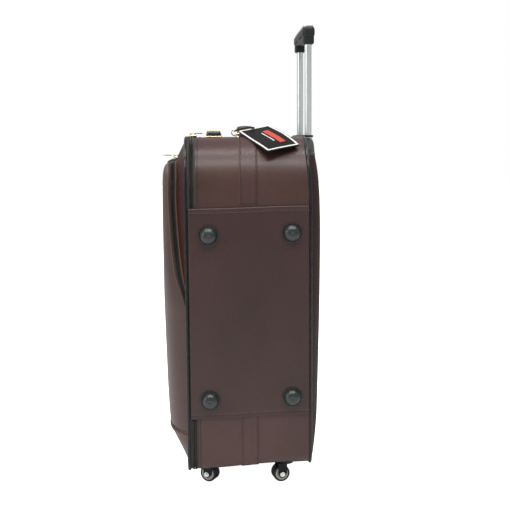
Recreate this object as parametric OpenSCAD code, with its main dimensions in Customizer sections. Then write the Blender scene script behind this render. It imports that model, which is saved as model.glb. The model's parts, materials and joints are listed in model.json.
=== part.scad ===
// Soft-sided leather cabin case on four swivel casters, with a telescopic handle at the rear.
// Frame: +Z up, +Y to the rear, +X to the hinge side that carries the four feet.
// The origin is on the floor, under the middle of the gusset. All sizes are in millimetres.

/* [Case] */
// Width over the leather sides
case_w = 360; // [350:5:380]
// Height of the leather underside above the floor
case_z0 = 40; // [39:1:42]
// Height of the leather top above the floor
case_z1 = 550; // [545:5:560]
// Radius of the two top corners
top_r = 75; // [65:5:80]
// Radius of the two bottom corners
bottom_r = 22; // [18:1:24]
// Thickness of the leather
leather_t = 1.6; // [1.2:0.1:1.8]
// Thickness of the polypropylene frame boards
board_t = 3.2; // [2.4:0.1:3.2]

/* [Depths from the middle of the gusset] */
// Rear edge of the leather gusset
gusset_rear = 88; // [88:0.5:88]
// Front edge of the leather gusset, where the zip begins
gusset_front = -81; // [-81:0.5:-80.5]
// Middle of the main zip
zip_y = -87.2; // [-87.2:0.1:-87.1]

/* [Reinforcements and feet] */
// Width of the reinforcing strap round the gusset
strap_w = 28; // [22:1:32]
// Bottom and top of the leather panel that carries the feet
panel_z = [122, 446]; // [100:500]
// Depth of the front feet, then the heights of the lower and the upper one
foot_front = [-62, 144, 402]; // [-64:404]
// Depth of the rear feet, then the heights of the lower and the upper one
foot_rear = [66, 148, 405]; // [64:407]
// Radius of a foot's flange
foot_r = 15.5; // [14:0.5:16]

/* [Telescopic handle] */
// Half the distance between the two handle tubes
tube_x = 80; // [76:1:84]
// How far the handle tubes stand behind the middle of the gusset
tube_y = 99.6; // [99.6:0.1:99.7]
// Height of the underside of the grip in the half-drawn position
grip_z = 706; // [700:1:720]
// Depth and width of the innermost tube
tube_size = [10, 20]; // [10:22]

/* [Casters] */
// Distance of each swivel axis from the middle, sideways and front to rear
caster_at = [141, 57]; // [50:145]
// Radius of a wheel over its tyre
wheel_r = 13.5; // [13:0.1:13.5]
// Width of a wheel
wheel_w = 18; // [16:1:18]
// Distance of a wheel's axle behind its swivel axis
trail = 8; // [6:1:8]

/* [Hidden] */
$fn = 64;
eps = 0.2;
hw = case_w / 2;
frame_in = leather_t + 0.2;
frame_out = frame_in + board_t;
side_x = hw + 1.3;
panel_x = side_x + 1.7;
// Planes where the lid's leather and the rear cover are sewn on.
lid_seam = -93.9;
rear_seam = gusset_rear + 4.4;
top_z = case_z1;
strap_top = top_z + 1.2;
caster_turn = [[1, -1, -25], [1, 1, 12], [-1, -1, -8], [-1, 1, 5]];
foot_spots = [for (f = [foot_front, foot_rear]) for (i = [1, 2]) [f[0], f[i]]];
tube_wall = 0.8;
middle_size = tube_size + [2.1, 2.1];
outer_size = middle_size + [2.1, 2.1];

// Plan outlines, as [distance from the middle, depth]; side outlines, as [depth, height].
back_plan = [[0, 120], [60, 119.6], [92, 118.4], [120, 115.6], [145, 110], [165, 103], [179, rear_seam]];
back_side = [[rear_seam, 42], [100, 46], [106, 52], [109.5, 60], [112, 75], [113.5, 90], [114.5, 110], [115.5, 150],
             [117.5, 220], [119.5, 320], [120, 400], [119, 450], [116.5, 485], [113.5, 508], [111.5, 520.6]];
housing_plan = [[0, 110.8], [94, 110.8], [120, 108.5], [145, 103.5], [165, 97.5], [179, rear_seam]];
housing_side = [[rear_seam, 521], [111, 521], [111, 536], [109, 543], [105, 547.6], [99, 549.6],
                [rear_seam, 549.6]];
lid_plan = [[0, -120], [60, -119], [100, -116], [130, -111.5], [155, -105], [170, -99], [177, lid_seam]];
lid_side = [[lid_seam, 262.2], [-120, 262.2], [-120, 440], [-118.5, 480], [-116.5, 505], [-114, 516],
            [-109.5, 525], [-105, 534], [-100, 543], [lid_seam, 547]];
low_plan = [[0, -136], [60, -135.9], [98, -134.5], [125, -130], [150, -119.5], [165, -108],
            [177, lid_seam]];
low_side = [[lid_seam, 43], [-99, 46], [-108, 56], [-117, 69], [-124, 81], [-128, 92], [-131, 120],
            [-133.5, 163], [-135, 205], [-136, 262], [lid_seam, 262]];
pocket_plan = [[0, -136.5], [70, -136], [104, -134.5], [118, -132], [126, -127], [134, -120],
               [155, -108.5], [172, -98]];
pocket_side = [[-94, 262.4], [-136, 262.4], [-136.5, 300], [-136.5, 466], [-135.5, 496],
               [-132, 507], [-126, 511.5], [-94, 511.5]];
pocket_edge = [[168, 262.4], [157, 276], [145, 294], [136, 315], [131, 340], [129, 370], [129, 476],
               [126, 492], [118, 504], [104, 511.5]];

// Where the pocket's front panel meets its zip tape, and the height at which the flap folds.
pocket_seam = -123.5;
flap_z = 340;

// Luggage tag: its middle, and the turns that lay it over the top corner.
tag_at = [129, 33, 548.8];
tag_turn = [11.2, 18.4, 28.2];
tag_size = [98, 58, 2.4];

// ---- shared shapes ----
module outline(d) {
    w = hw - d;
    lo = case_z0 + d;
    hi = case_z1 - d;
    rt = top_r - d;
    rb = bottom_r - d;
    translate([-w, lo + rb]) square([2 * w, hi - rt - lo - rb]);
    translate([-(w - rb), lo]) square([2 * (w - rb), rb + eps]);
    translate([-(w - rt), hi - rt - eps]) square([2 * (w - rt), rt + eps]);
    for (s = [-1, 1]) {
        translate([s * (w - rb), lo + rb]) circle(rb);
        translate([s * (w - rt), hi - rt]) circle(rt);
    }
}

module slab(y0, y1) {
    translate([0, y1, 0]) rotate([90, 0, 0]) linear_extrude(y1 - y0) children();
}

module across(x0, x1) {
    translate([x0, 0, 0]) rotate([90, 0, 90]) linear_extrude(x1 - x0) children();
}

module ring(d0, d1, y0, y1) {
    slab(y0, y1) difference() {
        outline(d0);
        outline(d1);
    }
}

function both(p) = concat(p, [for (i = [len(p) - 1:-1:(p[0][0] == 0 ? 1 : 0)]) [-p[i][0], p[i][1]]]);

module dome(plan, side, d, shift) {
    intersection() {
        slab(-150, 150) outline(d);
        translate([0, shift, 0]) across(-hw, hw) polygon(side);
        translate([0, shift, 0]) linear_extrude(600) polygon(both(plan));
    }
}

module loop(y, r) {
    w = hw - top_r;
    wb = hw - bottom_r;
    zt = case_z1 - top_r;
    zb = case_z0 + bottom_r;
    across(-w, w) translate([y, case_z1]) circle(r);
    across(-wb, wb) translate([y, case_z0]) circle(r);
    for (s = [-1, 1])
        translate([s * hw, y, zb]) cylinder(r = r, h = zt - zb);
    for (c = [[w, zt, 0, top_r], [-w, zt, 90, top_r], [-wb, zb, 180, bottom_r], [wb, zb, 270, bottom_r]])
        translate([c[0], y, c[1]]) rotate([90, 0, 0]) rotate([0, 0, c[2]])
            rotate_extrude(angle = 90) translate([c[3], 0]) circle(r);
}

module box(x, y, z) {
    translate([x[0], y[0], z[0]]) cube([x[1] - x[0], y[1] - y[0], z[1] - z[0]]);
}

module at_tubes() {
    for (s = [-1, 1])
        translate([s * tube_x, tube_y, 0]) children();
}

module bar(size, z0, z1) {
    box([-size[1] / 2, size[1] / 2], [-size[0] / 2, size[0] / 2], [z0, z1]);
}

module tube(size, z0, z1) {
    difference() {
        bar(size, z0, z1);
        bar(size - [2 * tube_wall, 2 * tube_wall], z0 - 1, z1 + 1);
    }
}

// ---- case ----
module gusset_cover() {
    color("saddlebrown") ring(0, leather_t, gusset_front, gusset_rear);
}

module frame_hoop() {
    color("dimgray") ring(frame_in, frame_out, gusset_front, gusset_rear - 6.2);
}

module base_board() {
    color("gray") box([-150, 150], [-73, 78], [case_z0 + frame_out + 0.2, case_z0 + frame_out + 3.6]);
}

module back_board() {
    color("gray") slab(gusset_rear - 6, gusset_rear - 2) outline(frame_in);
}

module back_cover() {
    side = concat(back_side, [[rear_seam, 520.6]]);
    color("saddlebrown") difference() {
        dome(back_plan, side, 0.4, 0);
        dome(back_plan, side, 0.4, -leather_t);
    }
}

module lining() {
    color("black") {
        ring(9, 9.8, gusset_front, gusset_rear - 6);
        slab(gusset_rear - 6.8, gusset_rear - 6) outline(9.8);
    }
}

module rear_piping() {
    color("black") loop((gusset_rear + rear_seam) / 2, 2.2);
}

module gusset_strap() {
    color("saddlebrown") ring(-1.2, 0, -strap_w / 2, strap_w / 2);
}

module side_panel() {
    color("saddlebrown") difference() {
        box([hw, panel_x], [-92, gusset_rear - 0.2], panel_z);
        ring(-1.3, 0, -strap_w / 2 - 0.1, strap_w / 2 + 0.1);
        ring(-0.7, 0, lid_seam, gusset_front);
        box([hw - 1, side_x], [-93, zip_y + 0.1], [panel_z[0] - 1, panel_z[1] + 1]);
    }
}

module side_feet() {
    color("black") for (p = foot_spots)
        translate([panel_x, p[0], p[1]]) rotate([0, 90, 0]) rotate_extrude()
            polygon([[0, 0], [foot_r, 0], [foot_r, 2], [foot_r - 1, 3], [foot_r - 2.5, 7], [10.5, 11],
                     [8.5, 12], [3, 12], [2.4, 11.3], [0, 11.3]]);
}

module main_zip_tape_rear() {
    color("gray") {
        ring(0.5, 1.5, zip_y + 0.2, gusset_front);
        ring(-0.6, 0.5, zip_y + 0.2, zip_y + 2.7);
    }
}

// ---- lock ----
module lock_body() {
    color("dimgray") {
        difference() {
            translate([0, 0, case_z1]) linear_extrude(12) {
                translate([-27, -66]) square([54, 26]);
                translate([-30, -63]) square([60, 20]);
                for (x = [-27, 27]) for (y = [-63, -43]) translate([x, y]) circle(3);
            }
            for (i = [0:2])
                box([-19 + 9 * i, -13.4 + 9 * i], [-60, -46], [case_z1 + 0.6, case_z1 + 13]);
            box([13, 24.4], [-59, -47], [case_z1 + 5, case_z1 + 13]);
        }
        across(-20, 6) translate([-53, case_z1 + 7.2]) circle(1.45);
    }
}

module lock_dial(i) {
    color("silver") across(-18.6 + 9 * i, -13.8 + 9 * i) translate([-53, case_z1 + 7.2]) difference() {
        circle(6);
        circle(1.5);
    }
}

module lock_button() {
    color("gold") box([13.4, 24], [-58.6, -47.4], [case_z1 + 7.5, case_z1 + 13.5]);
}

// ---- telescopic handle ----
module handle_housing() {
    color("black") difference() {
        dome(housing_plan, housing_side, 0.4, 0);
        at_tubes() {
            bar(outer_size + [0.2, 0.2], 500, 545.2);
            bar(middle_size + [0.7, 0.7], 540, 560);
        }
    }
}

module outer_tubes() {
    color("silver") at_tubes() tube(outer_size, 80, 545);
}

module handle_bracket() {
    color("black") difference() {
        box([-100, 100], [gusset_rear - 2, 108.6], [76, 96]);
        at_tubes() bar(outer_size + [0.2, 0.2], 79.8, 100);
    }
}

module middle_tubes() {
    color("silver") at_tubes() tube(middle_size, 90, 549.9);
}

module middle_collars() {
    color("black") at_tubes() difference() {
        bar(outer_size + [0, 1], 549.9, 553);
        bar(tube_size + [0.5, 0.5], 540, 560);
    }
}

module inner_tubes() {
    color("silver") at_tubes() tube(tube_size, 262, grip_z + 6);
}

module grip_body() {
    color("dimgray") difference() {
        union() {
            translate([0, tube_y, grip_z]) linear_extrude(18) {
                translate([-tube_x - 5, -10]) square([2 * tube_x + 10, 20]);
                for (s = [-1, 1]) translate([s * (tube_x + 5), 0]) circle(10);
            }
            at_tubes() bar(tube_size + [5, 5], grip_z - 9, grip_z + 1);
        }
        at_tubes() bar(tube_size + [0.1, 0.1], grip_z - 12, grip_z + 6.1);
        box([-21, 21], [tube_y - 6, tube_y + 6], [grip_z + 8, grip_z + 30]);
    }
}

module grip_cap() {
    color("silver") difference() {
        translate([0, tube_y, grip_z + 18]) linear_extrude(5) {
            translate([-tube_x - 5, -9]) square([2 * tube_x + 10, 18]);
            for (s = [-1, 1]) translate([s * (tube_x + 5), 0]) circle(9);
        }
        box([-21, 21], [tube_y - 6, tube_y + 6], [grip_z + 8, grip_z + 30]);
    }
}

module grip_button() {
    color("black") box([-20.6, 20.6], [tube_y - 5.6, tube_y + 5.6], [grip_z + 13, grip_z + 24.5]);
}

// ---- lid ----
module lid_cover() {
    color("saddlebrown") difference() {
        dome(lid_plan, lid_side, 3, 0);
        dome(lid_plan, lid_side, 3, leather_t);
    }
}

module lid_lower_cover() {
    color("saddlebrown") difference() {
        dome(low_plan, low_side, 3, 0);
        dome(low_plan, low_side, 3, leather_t);
    }
}

module lid_board() {
    color("gray") slab(lid_seam, lid_seam + 3) outline(1.7);
}

module lid_piping() {
    color("black") loop(lid_seam - 2.2, 2.2);
}

module main_zip_tape_front() {
    color("gray") {
        ring(0.5, 1.5, lid_seam, zip_y - 0.2);
        ring(-0.6, 0.5, zip_y - 2.7, zip_y - 0.2);
    }
}

// ---- front pocket ----
// The pocket's outline, moved in by t.
function edge(t) = both([for (p = pocket_edge) [p[0] - t, p[1] - (p[1] > 490 ? t : 0)]]);

module pocket_body(t) {
    intersection() {
        slab(-150, -90) polygon(edge(t));
        translate([0, t, 0]) across(-hw, hw) polygon(pocket_side);
        translate([0, t, 0]) linear_extrude(600) polygon(both(pocket_plan));
    }
}

module pocket_rim(y0, y1, z0, z1) {
    intersection() {
        slab(y0, y1) difference() {
            polygon(edge(0));
            polygon(edge(leather_t));
        }
        pocket_body(0);
        box([-hw, hw], [-150, -90], [z0, z1]);
    }
}

module ahead(s) {
    dome(lid_plan, lid_side, 3, -s);
}

module pocket_base() {
    color("saddlebrown") difference() {
        pocket_body(0);
        pocket_body(leather_t);
        ahead(0.5);
        slab(pocket_seam, -90) difference() {
            polygon(edge(-1));
            polygon(edge(leather_t + 0.8));
        }
        box([-hw, hw], [-150, -90], [flap_z, 560]);
    }
}

module pocket_cover() {
    color("saddlebrown") difference() {
        pocket_body(0);
        pocket_body(leather_t);
        box([-hw, hw], [pocket_seam, -90], [200, 560]);
        box([-hw, hw], [-150, -90], [200, flap_z + 0.5]);
    }
}

module pocket_zip_tape_rear() {
    color("gray") difference() {
        union() {
            pocket_rim(pocket_seam + 5.8, -90, flap_z, 520);
            pocket_rim(pocket_seam, -90, 262, flap_z);
        }
        ahead(0.2);
    }
}

module pocket_zip_tape_front() {
    color("gray") pocket_rim(pocket_seam, pocket_seam + 5.4, flap_z + 0.5, 520);
}

module pocket_slider() {
    color("gold") {
        box([-104, -94], [-126, -115], [512.8, 516]);
        for (x = [-103.4, -96.2]) across(x, x + 1.6) translate([-124, 518.2]) {
            circle(2.4);
            translate([-2.4, -3]) square([4.8, 3]);
        }
        across(-103, -95) translate([-124, 518.2]) circle(1.2);
    }
}

module pocket_puller() {
    color("gold") {
        across(-101.3, -96.7) difference() {
            translate([-124, 518.2]) union() {
                circle(2.2);
                translate([-22, -1.1]) square([22, 2.2]);
            }
            translate([-124, 518.2]) circle(1.25);
        }
        for (s = [-102.1, -96.7]) across(s, s + 0.8) translate([-146, 517.1]) square([16, 2.2]);
    }
}

// ---- main zip ----
module slider(s) {
    x = s * 9;
    color("gold") {
        box([x - 5, x + 5], [zip_y - 5.5, zip_y + 5.5], [case_z1 + 1, case_z1 + 4.4]);
        for (c = [x - 4.4, x + 3]) across(c, c + 1.4) translate([zip_y - 1, case_z1 + 6.8]) {
            circle(2.4);
            translate([-2.4, -3.2]) square([4.8, 3.2]);
        }
        across(x - 4.4, x + 4.4) translate([zip_y - 1, case_z1 + 6.8]) circle(1.2);
    }
}

module puller(s) {
    x = s * 9;
    color("gold") across(x - 2.6, x + 2.6) difference() {
        translate([zip_y - 1, case_z1 + 6.8]) union() {
            circle(2.2);
            translate([0, -1.1]) square([15.6, 2.2]);
        }
        translate([zip_y - 1, case_z1 + 6.8]) circle(1.25);
    }
}

module main_slider_left() { slider(-1); }
module main_slider_right() { slider(1); }
module main_puller_left() { puller(-1); }
module main_puller_right() { puller(1); }

// ---- carry handles and tag ----
module bridge() {
    for (s = [-1, 1]) difference() {
        box(s > 0 ? [66, 80] : [-80, -66], [-16, 16], [0, 6]);
        box(s > 0 ? [60, 90] : [-90, -60], [-11.3, 11.3], [-1, 3.6]);
    }
}

module tabs() {
    for (s = [-1, 1])
        box(s > 0 ? [62, 84] : [-84, -62], [-11, 11], [0, 3]);
}

module pad() {
    slab(-13.5, 13.5) polygon([[-60, 0.8], [-60, 5], [-52, 11], [-40, 16.5], [-20, 20], [20, 20], [40, 16.5],
                               [52, 11], [60, 5], [60, 0.8], [52, 2], [40, 7], [20, 10.5], [-20, 10.5],
                               [-40, 7], [-52, 2]]);
}

module on_top() {
    translate([0, 0, strap_top]) children();
}

module on_free_side() {
    translate([-side_x + 0.1, 0, 295]) rotate([0, -90, 0]) children();
}

module carry_brackets() {
    color("gold") {
        on_top() bridge();
        on_free_side() bridge();
    }
}

module handle_ends() {
    color("saddlebrown") {
        on_top() tabs();
        on_free_side() tabs();
    }
}

module top_handle() {
    color("saddlebrown") on_top() pad();
}

module side_handle() {
    color("saddlebrown") on_free_side() pad();
}

module luggage_tag() {
    color("black") translate(tag_at) rotate(tag_turn)
        translate([-tag_size[0] / 2, -tag_size[1] / 2, 0]) cube(tag_size);
}

module tag_strap() {
    color("saddlebrown") difference() {
        translate([74, -19, 558]) rotate([8.1, 0, -25]) translate([-4, 0, 0]) cube([8, 33, 1.6]);
        luggage_tag();
    }
}

// ---- casters ----
module at_caster(i) {
    translate([caster_turn[i][0] * caster_at[0], caster_turn[i][1] * caster_at[1], 0]) children();
}

module turned(i) {
    at_caster(i) rotate([0, 0, caster_turn[i][2]]) children();
}

module caster_plates() {
    color("black") for (i = [0:3]) at_caster(i) difference() {
        union() {
            box([-19, 19], [-16, 16], [36.6, case_z0]);
            translate([0, 0, 34.9]) cylinder(r = 13.5, h = 2);
        }
        translate([0, 0, 34]) cylinder(r = 4.05, h = 5.4);
    }
}

module fork(i) {
    color("black") turned(i) {
        translate([0, 0, 29.8]) cylinder(r = 13.2, h = 4.6);
        translate([0, 0, 34]) cylinder(r = 4, h = 5);
        for (s = [-1, 1]) difference() {
            across(s > 0 ? wheel_w / 2 + 0.6 : -wheel_w / 2 - 3.2, s > 0 ? wheel_w / 2 + 3.2 : -wheel_w / 2 - 0.6) {
                translate([-trail, wheel_r]) circle(6);
                translate([-trail - 6, wheel_r]) square([14, 31 - wheel_r]);
            }
            across(-20, 20) translate([-trail, wheel_r]) circle(2.5);
        }
    }
}

module axle(i) {
    color("silver") turned(i) {
        across(-wheel_w / 2 - 3.2, wheel_w / 2 + 3.2) translate([-trail, wheel_r]) circle(2.5);
        for (x = [-wheel_w / 2 - 5, wheel_w / 2 + 3.2])
            across(x, x + 1.8) translate([-trail, wheel_r]) circle(4.2);
    }
}

module wheel(i) {
    color("gray") turned(i) translate([0, -trail, wheel_r]) rotate([0, 90, 0]) rotate_extrude()
        polygon([[2.55, -wheel_w / 2], [7.5, -wheel_w / 2], [8, -wheel_w / 2 + 0.8], [9.5, -wheel_w / 2 + 0.8],
                 [10, -wheel_w / 2], [12.5, -wheel_w / 2], [wheel_r, -wheel_w / 2 + 1.2], [wheel_r, -1.2],
                 [12.6, -0.8], [12.6, 0.8], [wheel_r, 1.2], [wheel_r, wheel_w / 2 - 1.2],
                 [12.5, wheel_w / 2], [10, wheel_w / 2], [9.5, wheel_w / 2 - 0.8], [8, wheel_w / 2 - 0.8],
                 [7.5, wheel_w / 2], [2.55, wheel_w / 2]]);
}

module fork_front_hinge() { fork(0); }
module axle_front_hinge() { axle(0); }
module wheel_front_hinge() { wheel(0); }
module fork_rear_hinge() { fork(1); }
module axle_rear_hinge() { axle(1); }
module wheel_rear_hinge() { wheel(1); }
module fork_front_free() { fork(2); }
module axle_front_free() { axle(2); }
module wheel_front_free() { wheel(2); }
module fork_rear_free() { fork(3); }
module axle_rear_free() { axle(3); }
module wheel_rear_free() { wheel(3); }

module lock_dial_1() { lock_dial(0); }
module lock_dial_2() { lock_dial(1); }
module lock_dial_3() { lock_dial(2); }

gusset_cover();
frame_hoop();
base_board();
back_board();
back_cover();
lining();
rear_piping();
gusset_strap();
side_panel();
side_feet();
main_zip_tape_rear();
lock_body();
lock_dial_1();
lock_dial_2();
lock_dial_3();
lock_button();
handle_housing();
outer_tubes();
handle_bracket();
middle_tubes();
middle_collars();
inner_tubes();
grip_body();
grip_cap();
grip_button();
lid_cover();
lid_lower_cover();
lid_board();
lid_piping();
main_zip_tape_front();
pocket_base();
pocket_zip_tape_rear();
pocket_cover();
pocket_zip_tape_front();
pocket_slider();
pocket_puller();
main_slider_left();
main_puller_left();
main_slider_right();
main_puller_right();
carry_brackets();
handle_ends();
top_handle();
side_handle();
luggage_tag();
tag_strap();
caster_plates();
fork_front_hinge();
axle_front_hinge();
wheel_front_hinge();
fork_rear_hinge();
axle_rear_hinge();
wheel_rear_hinge();
fork_front_free();
axle_front_free();
wheel_front_free();
fork_rear_free();
axle_rear_free();
wheel_rear_free();
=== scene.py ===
"""Dresses the frame of a soft leather cabin case: four casters, a zipped lid and a drawn handle.

Lengths inside the builders are in millimetres, in the frame's axes: +Z up, +Y to the rear, +X to
the hinge side.
"""

from __future__ import annotations

import json
import logging
import math
from dataclasses import dataclass, field
from enum import Enum
from typing import Any, Sequence

import bmesh
import bpy
import numpy as np
from mathutils import Matrix, Vector

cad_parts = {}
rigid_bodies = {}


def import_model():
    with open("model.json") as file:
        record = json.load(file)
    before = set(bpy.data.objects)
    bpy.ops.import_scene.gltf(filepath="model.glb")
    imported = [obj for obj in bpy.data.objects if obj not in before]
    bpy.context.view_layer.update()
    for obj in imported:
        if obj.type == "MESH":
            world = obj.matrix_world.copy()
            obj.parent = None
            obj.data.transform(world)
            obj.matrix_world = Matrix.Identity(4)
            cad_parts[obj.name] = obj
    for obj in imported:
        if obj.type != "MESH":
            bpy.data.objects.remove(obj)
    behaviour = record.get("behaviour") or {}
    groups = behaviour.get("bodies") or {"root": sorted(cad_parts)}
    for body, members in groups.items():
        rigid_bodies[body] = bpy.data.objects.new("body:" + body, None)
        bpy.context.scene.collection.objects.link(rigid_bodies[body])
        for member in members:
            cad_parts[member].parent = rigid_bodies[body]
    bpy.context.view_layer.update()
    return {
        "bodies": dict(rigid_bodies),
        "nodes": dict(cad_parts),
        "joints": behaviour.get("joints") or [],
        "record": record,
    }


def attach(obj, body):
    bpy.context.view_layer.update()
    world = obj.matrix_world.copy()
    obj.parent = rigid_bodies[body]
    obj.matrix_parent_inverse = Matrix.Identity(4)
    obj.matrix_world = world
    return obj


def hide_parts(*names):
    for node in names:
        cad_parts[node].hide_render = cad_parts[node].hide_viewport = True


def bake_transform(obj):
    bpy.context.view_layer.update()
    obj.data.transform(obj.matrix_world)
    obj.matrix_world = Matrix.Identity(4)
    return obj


LOG = logging.getLogger("cabin_case")
Array = np.ndarray
Colour = tuple[float, float, float]
MM = 0.001


# ---------------------------------------------------------------- shader sums


class Sum:
    """A shader socket on which Python's operators add Math nodes."""

    def __init__(self, shader: "Shader", socket: Any) -> None:
        """Keeps the socket and the shader it belongs to."""
        self.shader = shader
        self.socket = socket

    def _math(self, operation: str, first: Any, second: Any) -> "Sum":
        """Adds one Math node and returns its result."""
        node = self.shader.node("ShaderNodeMath", {"operation": operation}, {0: first, 1: second})
        return Sum(self.shader, node.outputs[0])

    def __add__(self, other: Any) -> "Sum":
        """Sum."""
        return self._math("ADD", self, other)

    def __mul__(self, other: Any) -> "Sum":
        """Product."""
        return self._math("MULTIPLY", self, other)


class Shader:
    """A new material with one Principled node, and short ways to add the others."""

    def __init__(self, name: str) -> None:
        """Makes the material and finds its nodes.

        Args:
            name: The finish's name.
        """
        self.material = bpy.data.materials.new(f"{name}_look")
        self.material.use_nodes = True
        self.tree = self.material.node_tree
        self.surface = self.tree.nodes["Principled BSDF"]
        coords = self.tree.nodes.new("ShaderNodeTexCoord")
        self.place = Sum(self, coords.outputs["Object"])

    def node(self, kind: str, settings: dict[str, Any], sockets: dict[Any, Any]) -> Any:
        """Adds a node.

        Args:
            kind: The node's type.
            settings: Its own settings, set first.
            sockets: A value or a Sum for each input, by name or number.

        Returns:
            The node.
        """
        node = self.tree.nodes.new(kind)
        for key, value in settings.items():
            setattr(node, key, value)
        for key, value in sockets.items():
            if isinstance(value, Sum):
                self.tree.links.new(value.socket, node.inputs[key])
            else:
                node.inputs[key].default_value = value
        return node

    def noise(self, scale: float, detail: float = 3.0, stretch: Colour = (1.0, 1.0, 1.0)) -> Sum:
        """Noise from 0 to 1 on Object coordinates, stretched along the axes.

        Args:
            scale: How fine the pattern is.
            detail: How many octaves it has.
            stretch: Factor on each axis.

        Returns:
            The noise.
        """
        turned = self.node("ShaderNodeMapping", {}, {"Vector": self.place, "Scale": stretch})
        noise = self.node(
            "ShaderNodeTexNoise",
            {},
            {"Vector": Sum(self, turned.outputs[0]), "Scale": scale, "Detail": detail},
        )
        return Sum(self, noise.outputs[0])

    def cells(self, scale: float) -> Sum:
        """Distance to the nearest cell's middle, for leather grain."""
        cells = self.node("ShaderNodeTexVoronoi", {"feature": "F1"}, {"Vector": self.place, "Scale": scale})
        return Sum(self, cells.outputs["Distance"])

    def wave(self, scale: float, axis: str) -> Sum:
        """Even ridges across an axis, for weave and brushing.

        Args:
            scale: How many ridges.
            axis: The axis the ridges cross.

        Returns:
            The ridges.
        """
        wave = self.node(
            "ShaderNodeTexWave",
            {"bands_direction": axis},
            {"Vector": self.place, "Scale": scale, "Distortion": 0.6},
        )
        return Sum(self, wave.outputs[1])

    def between(self, low: Colour, high: Colour, share: Sum) -> Sum:
        """A colour that runs from low to high as share goes from 0.3 to 0.7.

        Args:
            low: The colour at the low end.
            high: The colour at the high end.
            share: How far to run from low to high.

        Returns:
            The colour.
        """
        ramp = self.tree.nodes.new("ShaderNodeValToRGB")
        ramp.color_ramp.elements[0].position = 0.3
        ramp.color_ramp.elements[0].color = (*low, 1.0)
        ramp.color_ramp.elements[1].position = 0.7
        ramp.color_ramp.elements[1].color = (*high, 1.0)
        self.tree.links.new(share.socket, ramp.inputs[0])
        return Sum(self, ramp.outputs[0])

    def relief(self, height: Sum, depth_mm: float, strength: float) -> None:
        """Bumps the surface by a height field of that depth.

        Args:
            height: The height field, from 0 to 1.
            depth_mm: Its depth in millimetres.
            strength: Share of the full effect.
        """
        bump = self.node(
            "ShaderNodeBump", {}, {"Strength": strength, "Distance": depth_mm * MM, "Height": height}
        )
        self.tree.links.new(bump.outputs[0], self.surface.inputs["Normal"])

    def set(self, name: str, value: Any) -> None:
        """Sets one input of the Principled node, from a number, a colour or a Sum.

        Args:
            name: The input's name.
            value: A number, a colour or a Sum.
        """
        if isinstance(value, Sum):
            self.tree.links.new(value.socket, self.surface.inputs[name])
        elif isinstance(value, tuple):
            self.surface.inputs[name].default_value = (*value, 1.0)
        else:
            self.surface.inputs[name].default_value = value


def shade(colour: Colour, factor: float) -> Colour:
    """The colour, made darker or lighter by a factor."""
    return (colour[0] * factor, colour[1] * factor, colour[2] * factor)


@dataclass(frozen=True)
class Leather:
    """Smooth coated leather: fine pores, soft creases, a mottled tone and worn, shinier patches."""

    name: str
    colour: Colour
    roughness: float = 0.44
    coat: float = 0.12
    shine: float = 0.3

    def material(self) -> Any:
        """Builds the material.

        Returns:
            The Blender material.
        """
        shader = Shader(self.name)
        pores = shader.cells(760.0)
        creases = shader.noise(30.0, 4.0, (1.0, 1.0, 0.3))
        cloud = shader.noise(9.0, 5.0, (1.0, 1.0, 0.6))
        speck = shader.noise(420.0, 2.0)
        tone = cloud * 0.7 + speck * 0.3
        shader.set("Base Color", shader.between(shade(self.colour, 0.74), shade(self.colour, 1.24), tone))
        shader.set("Roughness", cloud * 0.12 + speck * 0.08 + (self.roughness - 0.1))
        shader.set("Specular IOR Level", self.shine)
        shader.set("Coat Weight", self.coat)
        shader.set("Coat Roughness", 0.25)
        shader.relief(pores * 0.2 + creases * 1.3 + speck * 0.1, 0.9, 0.5)
        return shader.material


@dataclass(frozen=True)
class Cloth:
    """Woven tape or lining: two crossed sets of fine ridges with a little fluff."""

    name: str
    colour: Colour
    threads: float = 260.0

    def material(self) -> Any:
        """Builds the material.

        Returns:
            The Blender material.
        """
        shader = Shader(self.name)
        weave = shader.wave(self.threads, "Z") * 0.5 + shader.wave(self.threads, "Y") * 0.5
        fluff = shader.noise(900.0, 2.0)
        tone = weave * 0.6 + fluff * 0.4
        shader.set("Base Color", shader.between(shade(self.colour, 0.7), shade(self.colour, 1.3), tone))
        shader.set("Roughness", 0.85)
        shader.set("Specular IOR Level", 0.15)
        shader.relief(tone, 0.12, 0.3)
        return shader.material


@dataclass(frozen=True)
class Moulded:
    """Plastic or rubber with a fine moulded grain and uneven gloss."""

    name: str
    colour: Colour
    roughness: float = 0.4
    grain: float = 0.08
    shine: float = 0.4

    def material(self) -> Any:
        """Builds the material.

        Returns:
            The Blender material.
        """
        shader = Shader(self.name)
        grain = shader.noise(1100.0, 2.0)
        haze = shader.noise(30.0, 4.0)
        shader.set("Base Color", shader.between(shade(self.colour, 0.85), shade(self.colour, 1.2), haze))
        shader.set("Roughness", haze * 0.14 + grain * 0.06 + (self.roughness - 0.1))
        shader.set("Specular IOR Level", self.shine)
        shader.relief(grain, self.grain, 0.5)
        return shader.material


@dataclass(frozen=True)
class Metal:
    """Plated or brushed metal, with fine lines along one direction."""

    name: str
    colour: Colour
    roughness: float = 0.25
    lines: Colour = (1.0, 1.0, 1.0)

    def material(self) -> Any:
        """Builds the material.

        Returns:
            The Blender material.
        """
        shader = Shader(self.name)
        lines = shader.noise(700.0, 3.0, self.lines)
        haze = shader.noise(40.0, 3.0)
        shader.set("Base Color", shader.between(shade(self.colour, 0.88), shade(self.colour, 1.06), lines))
        shader.set("Metallic", 1.0)
        shader.set("Roughness", lines * 0.1 + haze * 0.1 + (self.roughness - 0.1))
        shader.relief(lines, 0.02, 0.3)
        return shader.material


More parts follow.
